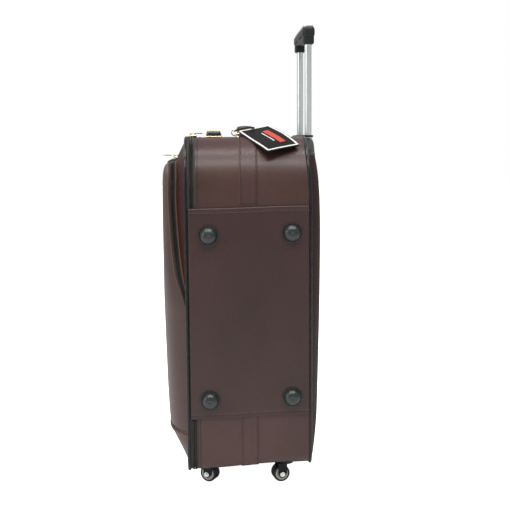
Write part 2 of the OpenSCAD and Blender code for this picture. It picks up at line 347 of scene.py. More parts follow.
@dataclass(frozen=True)
class Thread:
    """Twisted sewing thread or flat print."""

    name: str
    colour: Colour
    roughness: float = 0.6

    def material(self) -> Any:
        """Builds the material.

        Returns:
            The Blender material.
        """
        shader = Shader(self.name)
        twist = shader.noise(2400.0, 2.0)
        shader.set("Base Color", shader.between(shade(self.colour, 0.75), shade(self.colour, 1.2), twist))
        shader.set("Roughness", self.roughness)
        shader.relief(twist, 0.05, 0.4)
        return shader.material


MADE: dict[str, Any] = {}


class Finish(Enum):
    """Every finish on the case."""

    HIDE = Leather("brown_leather", (0.052, 0.0245, 0.0205), 0.40)
    HIDE_PANEL = Leather("panel_leather", (0.0380, 0.0178, 0.0162), 0.42)
    HIDE_FRONT = Leather("front_leather", (0.050, 0.026, 0.021), 0.44, 0.05, 0.3)
    HIDE_BEAD = Leather("bead_leather", (0.062, 0.022, 0.018), 0.36)
    # Lid leather behind the pocket: a darker, redder copy of the case leather, as painted shade on the lid's
    # side seen edge-on.
    HIDE_LID_SHADED = Leather("lid_leather_painted_shade", (0.036, 0.011, 0.009), 0.5, 0.0, 0.08)
    # Rear cover leather: a darker, redder copy of the case leather, as painted shade on the rear seen
    # edge-on.
    HIDE_REAR_SHADED = Leather("rear_leather_painted_shade", (0.026, 0.009, 0.009), 0.6, 0.0, 0.04)
    EDGE = Leather("cut_leather_edge", (0.13, 0.072, 0.052), 0.6, 0.0, 0.1)
    PIPING = Moulded("black_piping", (0.008, 0.008, 0.009), 0.27, 0.03, 0.3)
    TAPE = Cloth("zip_tape", (0.045, 0.041, 0.036))
    TEETH = Moulded("zip_teeth", (0.012, 0.012, 0.011), 0.38, 0.01)
    LINING = Cloth("lining_cloth", (0.055, 0.048, 0.045), 190.0)
    BOARD = Moulded("hoop_plastic", (0.03, 0.03, 0.032), 0.5)
    FEET = Moulded("gloss_black", (0.017, 0.021, 0.021), 0.31, 0.03, 0.5)
    BLACK = Moulded("black_plastic", (0.010, 0.011, 0.012), 0.36, 0.08, 0.15)
    GRIP = Moulded("grip_plastic", (0.016, 0.018, 0.018), 0.42, 0.08, 0.2)
    TYRE = Moulded("tyre_rubber", (0.012, 0.012, 0.012), 0.5, 0.1)
    HUB = Moulded("hub_plastic", (0.52, 0.49, 0.44), 0.35, 0.03)
    ALUMINIUM = Metal("brushed_aluminium", (0.90, 0.95, 0.94), 0.30, (1.0, 1.0, 0.02))
    STEEL = Metal("bright_steel", (0.72, 0.74, 0.74), 0.22)
    GOLD = Metal("pale_gold", (0.80, 0.66, 0.42), 0.22)
    LOCK = Metal("dark_lock_metal", (0.10, 0.11, 0.115), 0.32)
    DIAL = Moulded("dial_white", (0.50, 0.48, 0.44), 0.3)
    TAG = Leather("black_tag_leather", (0.009, 0.008, 0.008), 0.42, 0.0, 0.12)
    THREAD = Thread("brown_thread", (0.006, 0.003, 0.003))
    THREAD_TAN = Thread("tan_thread", (0.085, 0.050, 0.038))
    THREAD_WHITE = Thread("white_thread", (0.62, 0.62, 0.60))
    PRINT_RED = Thread("red_print", (0.45, 0.045, 0.028), 0.45)

    def material(self) -> Any:
        """The finish's material, made once.

        Returns:
            The Blender material.
        """
        if self.name not in MADE:
            MADE[self.name] = self.value.material()
        return MADE[self.name]


# ---------------------------------------------------------------- meshes


@dataclass
class Shape:
    """Vertices in millimetres and faces, before they become an object."""

    verts: Array
    faces: list[list[int]]

    def __add__(self, other: "Shape") -> "Shape":
        """Both shapes in one."""
        shifted = [[i + len(self.verts) for i in face] for face in other.faces]
        return Shape(np.concatenate([self.verts, other.verts]), self.faces + shifted)

    def placed(self, matrix: Array, offset: Sequence[float] = (0.0, 0.0, 0.0)) -> "Shape":
        """The shape turned by a 3x3 matrix and then moved."""
        return Shape(self.verts @ matrix.T + np.array(offset, float), self.faces)

    def moved(self, x: float, y: float, z: float) -> "Shape":
        """The shape, moved."""
        return self.placed(np.eye(3), (x, y, z))


def join(shapes: Sequence[Shape]) -> Shape:
    """All the shapes in one.

    Args:
        shapes: The shapes to put together.

    Returns:
        One shape.
    """
    total = shapes[0]
    for shape in shapes[1:]:
        total = total + shape
    return total


def surface(points: Array, wrap_u: bool = False, wrap_v: bool = False, caps: bool = False) -> Shape:
    """A grid of points as quads.

    Args:
        points: Array of shape (U, V, 3).
        wrap_u: Joins the last row to the first.
        wrap_v: Joins the last column to the first.
        caps: Closes the two ends of a tube that isn't wrapped along U.

    Returns:
        The shape.
    """
    rows, columns = points.shape[:2]
    index = np.arange(rows * columns).reshape(rows, columns)
    first, last = index[0].tolist(), index[-1].tolist()
    if wrap_u:
        index = np.concatenate([index, index[:1]], axis=0)
    if wrap_v:
        index = np.concatenate([index, index[:, :1]], axis=1)
    quads = np.stack([index[:-1, :-1], index[1:, :-1], index[1:, 1:], index[:-1, 1:]], axis=-1)
    faces = quads.reshape(-1, 4).tolist()
    if caps:
        faces += [first[::-1], last]
    return Shape(points.reshape(-1, 3).astype(float), faces)


def scatter(local: Array, centres: Array, frames: Array) -> Shape:
    """Copies one small closed tube to many places.

    Args:
        local: Array (U, V, 3) of a tube wrapped along V, in its own axes.
        centres: Array (K, 3).
        frames: Array (K, 3, 3), whose rows are the copies' axes.

    Returns:
        One shape of K copies.
    """
    unit = surface(local, wrap_v=True, caps=True)
    verts = np.einsum("ni,kij->knj", unit.verts, frames) + centres[:, None, :]
    count = len(unit.verts)
    faces = [[i + k * count for i in face] for k in range(len(centres)) for face in unit.faces]
    return Shape(verts.reshape(-1, 3), faces)


def unit_vectors(vectors: Array) -> Array:
    """Each row at length one."""
    return vectors / np.maximum(np.linalg.norm(vectors, axis=-1, keepdims=True), 1e-9)


def resample(path: Array, step: float, closed: bool = False) -> Array:
    """Points at an even step along a path of shape (N, D): the first three columns are the place.

    Args:
        path: Rows whose first three columns are the place.
        step: The step between points.
        closed: Whether the path ends where it starts.

    Returns:
        The rows at even steps.
    """
    if closed:
        path = np.concatenate([path, path[:1]])
    run = np.concatenate([[0.0], np.cumsum(np.linalg.norm(np.diff(path[:, :3], axis=0), axis=1))])
    count = max(2, int(round(run[-1] / step)))
    at = np.linspace(0.0, run[-1], count, endpoint=not closed)
    return np.stack([np.interp(at, run, column) for column in path.T], axis=1)


def tangents(path: Array, closed: bool = False) -> Array:
    """The direction of travel at each point.

    Args:
        path: Points along the way, in millimetres.
        closed: Whether the path ends where it starts.

    Returns:
        Unit vectors.
    """
    if closed:
        return unit_vectors(np.roll(path, -1, axis=0) - np.roll(path, 1, axis=0))
    return unit_vectors(np.gradient(path, axis=0))


def sweep(path: Array, out: Array, side: Array, profile: Array, closed: bool, ring: bool = True) -> Shape:
    """A profile carried along a path: each point is path + out * profile x + side * profile y.

    Args:
        path: Points along the way, in millimetres.
        out: Outward direction at each point.
        side: Sideways direction at each point.
        profile: The section as (out, side) pairs.
        closed: Whether the path ends where it starts.
        ring: Whether the section closes on itself.

    Returns:
        The swept shape.
    """
    points = (
        path[:, None, :] + out[:, None, :] * profile[None, :, :1] + side[:, None, :] * profile[None, :, 1:2]
    )
    return surface(points, wrap_u=closed, wrap_v=ring, caps=ring and not closed)


def full_turn(count: int) -> Array:
    """Angles once round, without the last."""
    return np.linspace(0.0, 2 * math.pi, count, endpoint=False)


def squared(values: Array, power: float) -> Array:
    """Pulls sines and cosines towards a rectangle: the lower the power, the squarer."""
    return np.sign(values) * np.abs(values) ** power


def rectangle(half_wide: float, half_high: float) -> Array:
    """A rectangle's four corners round the middle."""
    return np.array([[-1, -1], [1, -1], [1, 1], [-1, 1]]) * np.array([half_wide, half_high])


def circle(radius: float, count: int = 12, squash: float = 1.0) -> Array:
    """A circle as a profile, squashed along its second axis."""
    turn = full_turn(count)
    return np.stack([radius * np.cos(turn), radius * squash * np.sin(turn)], axis=1)


def tube(path: Array, radius: float, up: Sequence[float], closed: bool = False, count: int = 12) -> Shape:
    """A round rod along a flat path whose plane's normal is up.

    Args:
        path: Points along the way, in millimetres.
        radius: The radius in millimetres.
        up: Normal of the path's plane.
        closed: Whether the path ends where it starts.
        count: Points round the rod.

    Returns:
        The rod.
    """
    side = np.broadcast_to(np.array(up, float), path.shape)
    out = unit_vectors(np.cross(tangents(path, closed), side))
    return sweep(path, out, side, circle(radius, count), closed)


def rounded_box(low: Sequence[float], high: Sequence[float], radius: float, count: int = 6) -> Shape:
    """A box with every edge rounded: a ball's points, each pushed out to its own corner of a smaller box.

    Args:
        low: The corner with the lowest coordinates.
        high: The corner with the highest coordinates.
        radius: The radius in millimetres.
        count: Steps along each rounded edge.

    Returns:
        The box.
    """
    low, high = np.array(low, float), np.array(high, float)
    turn = np.linspace(0.0, math.pi / 2, count)
    around = np.concatenate([turn + k * math.pi / 2 for k in range(4)])
    quarter = np.repeat([[1, 1], [-1, 1], [-1, -1], [1, -1]], count, axis=0)
    lift = np.concatenate([turn - math.pi / 2, turn])
    level = np.repeat([-1, 1], count)
    ball = np.stack(
        [
            np.cos(lift)[:, None] * np.cos(around)[None, :],
            np.cos(lift)[:, None] * np.sin(around)[None, :],
            np.repeat(np.sin(lift)[:, None], len(around), axis=1),
        ],
        axis=-1,
    )
    inner = (high - low) / 2 - radius
    corner = np.stack(
        [
            np.repeat(quarter[None, :, 0], len(lift), axis=0),
            np.repeat(quarter[None, :, 1], len(lift), axis=0),
            np.repeat(level[:, None], len(around), axis=1),
        ],
        axis=-1,
    )
    return surface((low + high) / 2 + ball * radius + corner * inner, wrap_v=True, caps=True)


def lathe(profile: Sequence[Sequence[float]], count: int = 48, ridges: tuple[int, float] = (0, 0.0)) -> Shape:
    """A profile of (radius, height) turned about Z.

    Args:
        profile: The points, from the bottom of the axis to its top.
        count: Steps round the turn.
        ridges: How many ridges run round the widest part, and their height.

    Returns:
        The shape, closed by caps.
    """
    points = np.array(profile, float)
    turn = full_turn(count)
    widest = points[:, 0].max()
    ridge = ridges[1] * np.cos(ridges[0] * turn)[None, :] * (points[:, :1] > widest - 0.6)
    radius = points[:, :1] + ridge
    height = np.repeat(points[:, 1:2], count, axis=1)
    grid = np.stack([radius * np.cos(turn)[None, :], radius * np.sin(turn)[None, :], height], axis=-1)
    return surface(grid, wrap_v=True, caps=True)


def turn_about(axis: str, degrees: float) -> Array:
    """A 3x3 turn about one axis."""
    return np.array(Matrix.Rotation(math.radians(degrees), 3, axis))


ALONG_X = turn_about("Y", 90.0)


def stitches(path: Array, normal: Array, pitch: float = 4.6, radius: float = 0.8) -> Shape:
    """A row of thread stitches: a capsule every pitch, half sunk into the surface.

    Args:
        path: Points along the way, in millimetres.
        normal: The surface's normal at each point.
        pitch: The distance from one to the next.
        radius: The radius in millimetres.

    Returns:
        All the stitches as one shape.
    """
    line = resample(np.concatenate([path, normal], axis=1), pitch)
    place, up = line[:, :3], unit_vectors(line[:, 3:])
    along = tangents(place)
    across = unit_vectors(np.cross(along, up))
    reach = np.linspace(-1.0, 1.0, 5)
    bulge = np.sqrt(1.0 - 0.94 * reach**2)
    turn = full_turn(6)
    local = np.stack(
        [
            np.repeat(reach[:, None] * pitch * 0.29, 6, axis=1),
            bulge[:, None] * radius * np.cos(turn)[None, :],
            bulge[:, None] * radius * np.sin(turn)[None, :],
        ],
        axis=-1,
    )
    return scatter(local, place, np.stack([along, across, up], axis=1))


def coil(path: Array, out: Array, side: Array, closed: bool, pitch: float = 2.0) -> Shape:
    """A zip's coil: a flattened helix round the path, as a thin rod.

    Args:
        path: Points along the way, in millimetres.
        out: Outward direction at each point.
        side: Direction across the zip at each point.
        closed: Whether the path ends where it starts.
        pitch: The distance from one to the next.

    Returns:
        The coil.
    """
    data = np.concatenate([path, out, side], axis=1)
    line = resample(data, pitch / 8, closed)
    place, out, side = line[:, :3], unit_vectors(line[:, 3:6]), unit_vectors(line[:, 6:9])
    angle = np.arange(len(line)) * math.pi / 4
    cos, sin = np.cos(angle)[:, None], np.sin(angle)[:, None]
    spoke = side * cos + out * sin
    centre = place + side * cos * 1.25 + out * sin * 0.55
    along = np.cross(out, side)
    return sweep(centre, spoke, along, circle(0.42, 4), closed)


@dataclass
class Piece:
    """How one finished piece is put into the scene."""

    name: str
    finish: Finish
    body: str
    slot: str
    replaces: Sequence[str] = ()
    thickness: float = 0.0
    towards: Sequence[float] | None = None
    sharp: float = 38.0
    bend: tuple[str, Sequence[float], Sequence[float]] | None = None
    fill: float | None = None
    droops: bool = False

    def build(self, shape: Shape) -> Any:
        """Makes the object and dresses it; a piece without a bend is handed to its body, and one with a bend
        only has its place baked in.

        Args:
            shape: The mesh in millimetres. An open one has a thickness, and towards says where it faces.

        Returns:
            The object.
        """
        if self.droops:
            shape = droop(shape)
        mesh = bpy.data.meshes.new(self.name)
        mesh.from_pydata((shape.verts * MM).tolist(), [], shape.faces)
        mesh.validate()
        tidy = bmesh.new()
        tidy.from_mesh(mesh)
        bmesh.ops.remove_doubles(tidy, verts=tidy.verts, dist=1e-6)
        bmesh.ops.recalc_face_normals(tidy, faces=tidy.faces)
        if self.towards is not None:
            facing = sum((f.normal * f.calc_area() for f in tidy.faces), Vector())
            if facing.dot(Vector(self.towards)) < 0:
                bmesh.ops.reverse_faces(tidy, faces=tidy.faces)
        tidy.to_mesh(mesh)
        tidy.free()
        mesh.polygons.foreach_set("use_smooth", np.ones(len(mesh.polygons), bool))
        mesh.set_sharp_from_angle(angle=math.radians(self.sharp))
        mesh.materials.append(self.finish.material())
        item = bpy.data.objects.new(self.name, mesh)
        bpy.context.scene.collection.objects.link(item)
        if self.thickness:
            wall = item.modifiers.new("wall", "SOLIDIFY")
            wall.thickness = self.thickness * MM
            wall.offset = -1.0
        if self.replaces:
            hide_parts(*self.replaces)
        if self.bend:
            other, start, end = self.bend
            [v * MM for v in start]
            [v * MM for v in end]
            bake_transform(item)
        else:
            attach(item, self.body)
        LOG.info("%s: %d faces on %s", self.name, len(mesh.polygons), self.body)
        return item


# ---------------------------------------------------------------- the case's shape


@dataclass(frozen=True)
class Outline:
    """The rounded outline of the case in X and Z."""

    half: float
    low: float
    high: float
    top_r: float
    bottom_r: float

    def path(self, inset: float = 0.0, step: float = 4.0) -> tuple[Array, Array]:
        """The outline as a closed path.

        Args:
            inset: How far inside the outline it runs.
            step: Distance between points.

        Returns:
            Points (N, 3) at Y 0, and outward normals (N, 3).
        """
        turn = np.linspace(0.0, math.pi / 2, 20)
        parts = []
        for sx, z, r, start in (
            (1, self.high - self.top_r, self.top_r, 0.0),
            (-1, self.high - self.top_r, self.top_r, 0.5),
            (-1, self.low + self.bottom_r, self.bottom_r, 1.0),
            (1, self.low + self.bottom_r, self.bottom_r, 1.5),
        ):
            angle = turn + start * math.pi
            nx, nz = np.cos(angle), np.sin(angle)
            cx = sx * (self.half - r)
            parts.append(np.stack([cx + r * nx, 0 * nx, z + r * nz, nx, 0 * nx, nz], axis=1))
        line = resample(np.concatenate(parts), step, closed=True)
        normal = unit_vectors(line[:, 3:])
        return line[:, :3] - normal * inset, normal

    def rows(self, count: int) -> tuple[Array, Array]:
        """Heights for a grid, close together at the round corners, and the half width at each.

        Args:
            count: How many points to use.

        Returns:
            The heights and the half widths.
        """
        turn = np.linspace(0.0, math.pi / 2, 12)
        low = self.low + self.bottom_r * (1 - np.cos(turn))
        high = self.high - self.top_r * (1 - np.cos(turn[::-1]))
        middle = np.linspace(low[-1], high[0], count)[1:-1]
        width = np.concatenate(
            [
                self.half - self.bottom_r * (1 - np.sin(turn)),
                np.full(len(middle), self.half),
                self.half - self.top_r * (1 - np.sin(turn[::-1])),
            ]
        )
        return np.concatenate([low, middle, high]), width


CASE = Outline(180.0, 40.0, 550.0, 75.0, 22.0)
LID = Outline(177.0, 43.0, 547.0, 72.0, 19.0)
REAR = Outline(179.0, 41.0, 549.6, 74.0, 21.0)
ACROSS = np.sin(np.linspace(-math.pi / 2, math.pi / 2, 61))
FRONT_SEAM = 93.9
REAR_SEAM = 92.4
Y_AXIS = np.array([0.0, 1.0, 0.0])
WALL = 1.6
SWELL = 4.6
SWELL_FADES = (455.0, 540.0)
REAR_HANG, FRONT_HANG = 3.5, 12.5
HANG_ALONG = (-92.0, 60.0)
HANG_FADES = (60.0, 125.0)
CASTER_ZONE = (152.0, 166.0)
ZIP_ZONE = (-91.0, -82.0)


def curve_of(points: Sequence[Sequence[float]], at: Array) -> Array:
    """A smooth curve through (place, value) points: a monotone cubic with slopes from its neighbours.

    Args:
        points: (height, value) pairs, rising.
        at: Where to read the curve.

    Returns:
        The values there.
    """
    knots = np.array(points, float)
    x, y = knots[:, 0], knots[:, 1]
    step = np.diff(x)
    slope = np.diff(y) / step
    before, after = slope[:-1], slope[1:]
    inner = np.where(before * after > 0, 2 * before * after / (before + after + 1e-12), 0.0)
    tangent = np.concatenate([[slope[0]], inner, [slope[-1]]])
    i = np.clip(np.searchsorted(x, at) - 1, 0, len(step) - 1)
    t = np.clip((at - x[i]) / step[i], 0.0, 1.0)
    h = step[i]
    return (
        y[i] * (1 + 2 * t) * (1 - t) ** 2
        + tangent[i] * h * t * (1 - t) ** 2
        + y[i + 1] * t**2 * (3 - 2 * t)
        + tangent[i + 1] * h * t**2 * (t - 1)
    )


def ease(at: Array, start: float, end: float) -> Array:
    """Rises smoothly from 0 at start to 1 at end."""
    t = np.clip((at - start) / (end - start), 0.0, 1.0)
    return t * t * (3 - 2 * t)


def groove(off: Array, width: float) -> Array:
    """A soft groove's shape: 1 in its middle, fading over its width."""
    return np.exp(-((off / width) ** 2))


def swell(z: Array) -> Array:
    """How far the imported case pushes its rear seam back: nothing at the very top."""
    return SWELL * (1 - ease(z, *SWELL_FADES))


def droop(shape: Shape) -> Shape:
    """Lets the soft lower edge hang below its board: most at the zip, and nowhere over the casters.

    Args:
        shape: The shape to change.

    Returns:
        The same shape, changed.
    """
    x, y, z = shape.verts.T
    hang = REAR_HANG + (FRONT_HANG - REAR_HANG) * (1 - ease(y, *HANG_ALONG))
    clear = np.maximum(ease(np.abs(x), *CASTER_ZONE), 1 - ease(y, *ZIP_ZONE))
    shape.verts[:, 2] = z - hang * clear * (1 - ease(z, *HANG_FADES))
    return shape


def dome(
    rows: Array, width: Array, depth: Array, power: Array, seam: float, edge: Array | float = 0.0
) -> Array:
    """A domed panel: depth times (1 - |a| ** power) across each row, over the depth at its edge.

    Args:
        rows: Heights (U,).
        width: Half width at each height.
        depth: Depth in the middle at each height, measured from the seam.
        power: How square the dome is at each height.
        seam: Where the panel is sewn on, below zero at the front.
        edge: Depth at the two ends of each row.

    Returns:
        Points (U, V, 3).
    """
    edge = np.broadcast_to(edge, rows.shape)[:, None]
    rise = 1 - np.abs(ACROSS)[None, :] ** np.broadcast_to(power, rows.shape)[:, None]
    height = edge + (depth[:, None] - edge) * rise
    y = seam + math.copysign(1.0, seam) * height
    return np.stack([width[:, None] * ACROSS, y, np.repeat(rows[:, None], len(ACROSS), axis=1)], axis=-1)


def lid_depth(x: Array, z: Array) -> Array:
    """Depth of the lid's leather in front of its seam, behind the pocket.

    Args:
        x: Distance from the middle.
        z: Height.

    Returns:
        The depth in millimetres.
    """
    centre = curve_of(
        [
            (43, 0), (60, 18), (120, 25), (300, 26.1), (440, 26.1), (480, 24.8), (505, 22.6), (516, 20.1),
            (525, 15.8), (534, 11.3), (543, 6.3), (547, 0),
        ],
        z,
    )
    corner = np.clip((z - (LID.high - LID.top_r)) / LID.top_r, 0.0, 0.9999)
    half = LID.half - LID.top_r * (1 - np.sqrt(1 - corner**2))
    return centre * (1 - np.clip(np.abs(x) / half, 0.0, 1.0) ** 4)


@dataclass
class CaseShell:
    """The leather gusset, its strap and side panel, the rear cover, the pipings and the feet."""

    front: float = -81.0
    rear: float = 88.0
    strap: float = 14.3
    panel_front: float = -92.0
    panel_low: float = 122.0
    panel_high: float = 446.0
    panel_x: float = 183.0
    hem: float = 7.0
    soft_from: float = 30.0
    feet: tuple[tuple[float, float], ...] = ((-62.0, 144.0), (-62.0, 402.0), (66.0, 148.0), (66.0, 405.0))

    def push(self, y: Array, z: Array) -> Array:
        """How far the swell pushes the side's leather back at a place."""
        return swell(z) * ease(y, self.soft_from, self.rear)

    def packed(self, shape: Shape) -> Shape:
        """Pushes everything near the rear seam back by the swell.

        Args:
            shape: The shape to change.

        Returns:
            The same shape, changed.
        """
        y, z = shape.verts[:, 1], shape.verts[:, 2]
        shape.verts[:, 1] = y + self.push(y, z)
        return shape

    def gusset(self) -> None:
        """Leather all round, slightly crowned, pulled in along its seams."""
        path, out = CASE.path()
        side = np.broadcast_to(Y_AXIS, path.shape)
        y = np.linspace(self.front, self.rear, 96)
        lift = 0.35 * (1 - ((y - 3.5) / 84.5) ** 2)
        beside = self.strap + 1
        for seam, depth in ((self.front + 3.2, 0.4), (self.rear - 4.0, 0.4), (-beside, 0.15), (beside, 0.15)):
            lift = lift - depth * groove(y - seam, 1.6)
        outer = np.stack([lift, y], axis=1)
        inner = np.stack([np.full(4, -WALL), np.linspace(self.rear, self.front, 4)], axis=1)
        shape = self.packed(sweep(path, out, side, np.concatenate([outer, inner]), closed=True))
        Piece("gusset_leather", Finish.HIDE, "case", "leather", ["gusset_cover"], droops=True).build(shape)

    def open_run(self, inset: float, y: float, step: float = 4.0) -> tuple[Array, Array]:
        """The outline's path at a depth, cut where the side panel covers it.

        Args:
            inset: How far inside the outline the path runs.
            y: Place from front to rear.
            step: The step between points.

        Returns:
            The points and their outward directions.
        """
        path, out = CASE.path(inset, step)
        path = path + Y_AXIS * y
        covered = (path[:, 0] > 179) & (path[:, 2] > self.panel_low - 2) & (path[:, 2] < self.panel_high + 2)
        first = int(np.argmax(covered))
        order = np.roll(np.arange(len(path)), -first)
        order = order[~covered[order]]
        return path[order], out[order]

    def seams(self) -> None:
        """The thread along the gusset's zip side and along both edges of the strap."""
        rows = []
        for y in (self.front + 3.2, -self.strap + 2.6, self.strap - 2.6):
            path, out = self.open_run(-1.3 if abs(y) < 20 else 0.0, y)
            rows.append(stitches(path, out))
        Piece("gusset_stitches", Finish.THREAD, "case", "leather", droops=True).build(join(rows))

    def strap_band(self) -> None:
        """The flat strap down the middle of the gusset, with rolled edges and a faint middle fold."""
        path, out = self.open_run(0.0, 0.0)
        side = np.broadcast_to(Y_AXIS, path.shape)
        y = np.linspace(-self.strap, self.strap, 33)
        lift = 1.3 * (1 - np.abs(y / self.strap) ** 14) ** 0.5
        for seam in (-self.strap + 2.6, self.strap - 2.6, -5.5, 4.5):
            lift = lift - 0.25 * groove(y - seam, 1.1)
        profile = np.concatenate(
            [np.stack([np.maximum(lift, 0.02), y], axis=1), [[-0.3, self.strap], [-0.3, -self.strap]]]
        )
        shape = sweep(path, out, side, profile, closed=False)
        Piece(
            "gusset_strap_leather", Finish.HIDE, "case", "leather", ["gusset_strap"], sharp=60, droops=True
        ).build(shape)

    def panel_height(self, y: Array, z: Array) -> Array:
        """How far the side panel stands out: soft waves, rolled edges and a dip along each seam.

        Args:
            y: Place from front to rear.
            z: Height.

        Returns:
            The panel's x in millimetres.
        """
        wave = 0.28 * np.sin(y / 31 + 0.8) * np.sin(z / 53) + 0.18 * np.sin(y / 17 - z / 39)
        foot = sum(
            0.5 * np.exp(-(((y - foot_y) ** 2 + (z - foot_z) ** 2) / 620.0)) for foot_y, foot_z in self.feet
        )
        lower, upper = z - self.panel_low - self.hem, z - self.panel_high + self.hem
        return self.panel_x + wave - foot - 0.5 * (groove(lower, 1.6) + groove(upper, 1.6))

    def lean(self, y: Array, z: Array | float) -> Array:
        """How far the panel's hems drop towards the zip, the lower one more than the upper."""
        low = 1 - ease(z, 150.0, 380.0)
        return (0.016 + 0.014 * low) * (y - 60.0) - 3.0 * low + 0.6 * np.sin(y / 34.0)

    def panel(self) -> None:
        """The leather panel over the gusset, with a folded hem above and below."""
        y = np.linspace(self.panel_front, self.rear, 89)
        z = np.linspace(self.panel_low, self.panel_high, 150)
        grid_y, grid_z = np.meshgrid(y, z, indexing="xy")
        height = self.panel_height(grid_y, grid_z)
        points = np.stack([height, grid_y, grid_z + self.lean(grid_y, grid_z)], axis=-1)
        Piece(
            "side_panel_leather", Finish.HIDE_PANEL, "case", "leather", ["side_panel"], 2.2, (1, 0, 0), 60.0
        ).build(self.packed(surface(points)))
        rows, edges = [], []
        for z_row, z_edge in (
            (self.panel_low + self.hem, self.panel_low + 0.6),
            (self.panel_high - self.hem, self.panel_high - 0.6),
        ):
            line_y = np.linspace(self.panel_front + 1.5, self.rear - 1.0, 60)
            for level, target in ((z_row, rows), (z_edge, edges)):
                x = self.panel_height(line_y, np.full(60, level)) + (0.1 if target is rows else -0.6)
                lower = level + self.lean(line_y, level)
                path = np.stack([x, line_y + self.push(line_y, lower), lower], axis=1)
                normal = np.broadcast_to(np.array([1.0, 0, 0]), path.shape)
                target.append(stitches(path, normal) if target is rows else tube(path, 0.6, (1, 0, 0)))
        Piece("panel_stitches", Finish.THREAD_TAN, "case", "leather").build(join(rows))
        Piece("panel_hems", Finish.EDGE, "case", "leather").build(join(edges))

    def rear_cover(self) -> None:
        """The padded rear cover and the plastic housing above it, as one swell."""
        rows, width = REAR.rows(70)
        depth = curve_of(
            [
                (41, 0), (46, 7.4), (52, 12.4), (60, 15.8), (75, 18.4), (90, 20.2), (110, 21.6), (150, 23),
                (220, 25), (320, 27), (400, 27.6), (450, 26.6), (485, 24.2), (508, 21.4), (521, 19.2),
                (536, 18.8), (544, 17.8), (547.5, 16), (549, 12.5), (549.6, 0),
            ],
            rows,
        )
        points = dome(rows, width, depth, np.full(len(rows), 3.8), REAR_SEAM, swell(rows))
        split = int(np.searchsorted(rows, 521.0))
        # The rear cover's finish is a darker, redder copy of the case leather: painted shade on the edge-on
        # rear.
        Piece(
            "rear_cover_leather", Finish.HIDE_REAR_SHADED, "case", "leather_rear", ["back_cover"],
            WALL, (0, 1, 0), 60.0, fill=0.8, droops=True,
        ).build(surface(points[: split + 1]))
        housing = points[split:]
        Piece(
            "handle_housing_shell", Finish.BLACK, "case", "black_plastic", ["handle_housing"],
            WALL, (0, 1, 0.5), 60.0,
        ).build(surface(housing))
        seam = points[split] + np.array([0.0, -0.3, -0.6])
        Piece("rear_cover_welt", Finish.BLACK, "case", "piping").build(tube(seam, 1.0, (0, 0, 1)))

    def pipings(self) -> None:
        """The glossy welts in front of the lid's leather and behind the gusset."""
        for name, y, body, node in (
            ("rear_welt", 90.2, "case", "rear_piping"),
            ("lid_welt", -96.1, "lid", "lid_piping"),
        ):
            path, out = CASE.path(0.0, 3.0)
            path = path + Y_AXIS * y
            if y > 0:
                path[:, 1] += swell(path[:, 2])
            side = np.broadcast_to(Y_AXIS, path.shape)
            ripple = 1 + 0.03 * np.sin(np.arange(len(path)) * 0.9)[:, None, None]
            ring = circle(2.45, 14)
            points = path[:, None, :] + ripple * (
                out[:, None, :] * ring[None, :, :1] + side[:, None, :] * ring[None, :, 1:2]
            )
            Piece(name, Finish.PIPING, body, "piping", [node], droops=True).build(
                surface(points, wrap_u=True, wrap_v=True)
            )

    def studs(self) -> None:
        """Four glossy domes with a flange, a step and a small dimple."""
        profile = [
            (0.01, -1.0), (15.5, -1.0), (15.9, 0.5), (15.3, 2.0), (14.4, 2.2), (13.9, 1.4), (13.6, 1.4),
            (13.2, 3.0), (12.4, 6.0), (10.8, 8.6), (8.6, 10.4), (6.0, 11.5), (3.4, 12.0), (2.2, 12.0),
            (1.7, 11.5), (0.01, 11.1),
        ]
        shape = lathe(profile, 56).placed(ALONG_X)
        spots = [shape.moved(self.panel_x, y, z) for y, z in self.feet]
        Piece("feet_domes", Finish.FEET, "case", "feet", ["side_feet"], sharp=50).build(join(spots))

    def build(self) -> None:
        """Builds every part of the shell."""
        self.gusset()
        self.seams()
        self.strap_band()
        self.panel()
        self.rear_cover()
        self.pipings()
        self.studs()


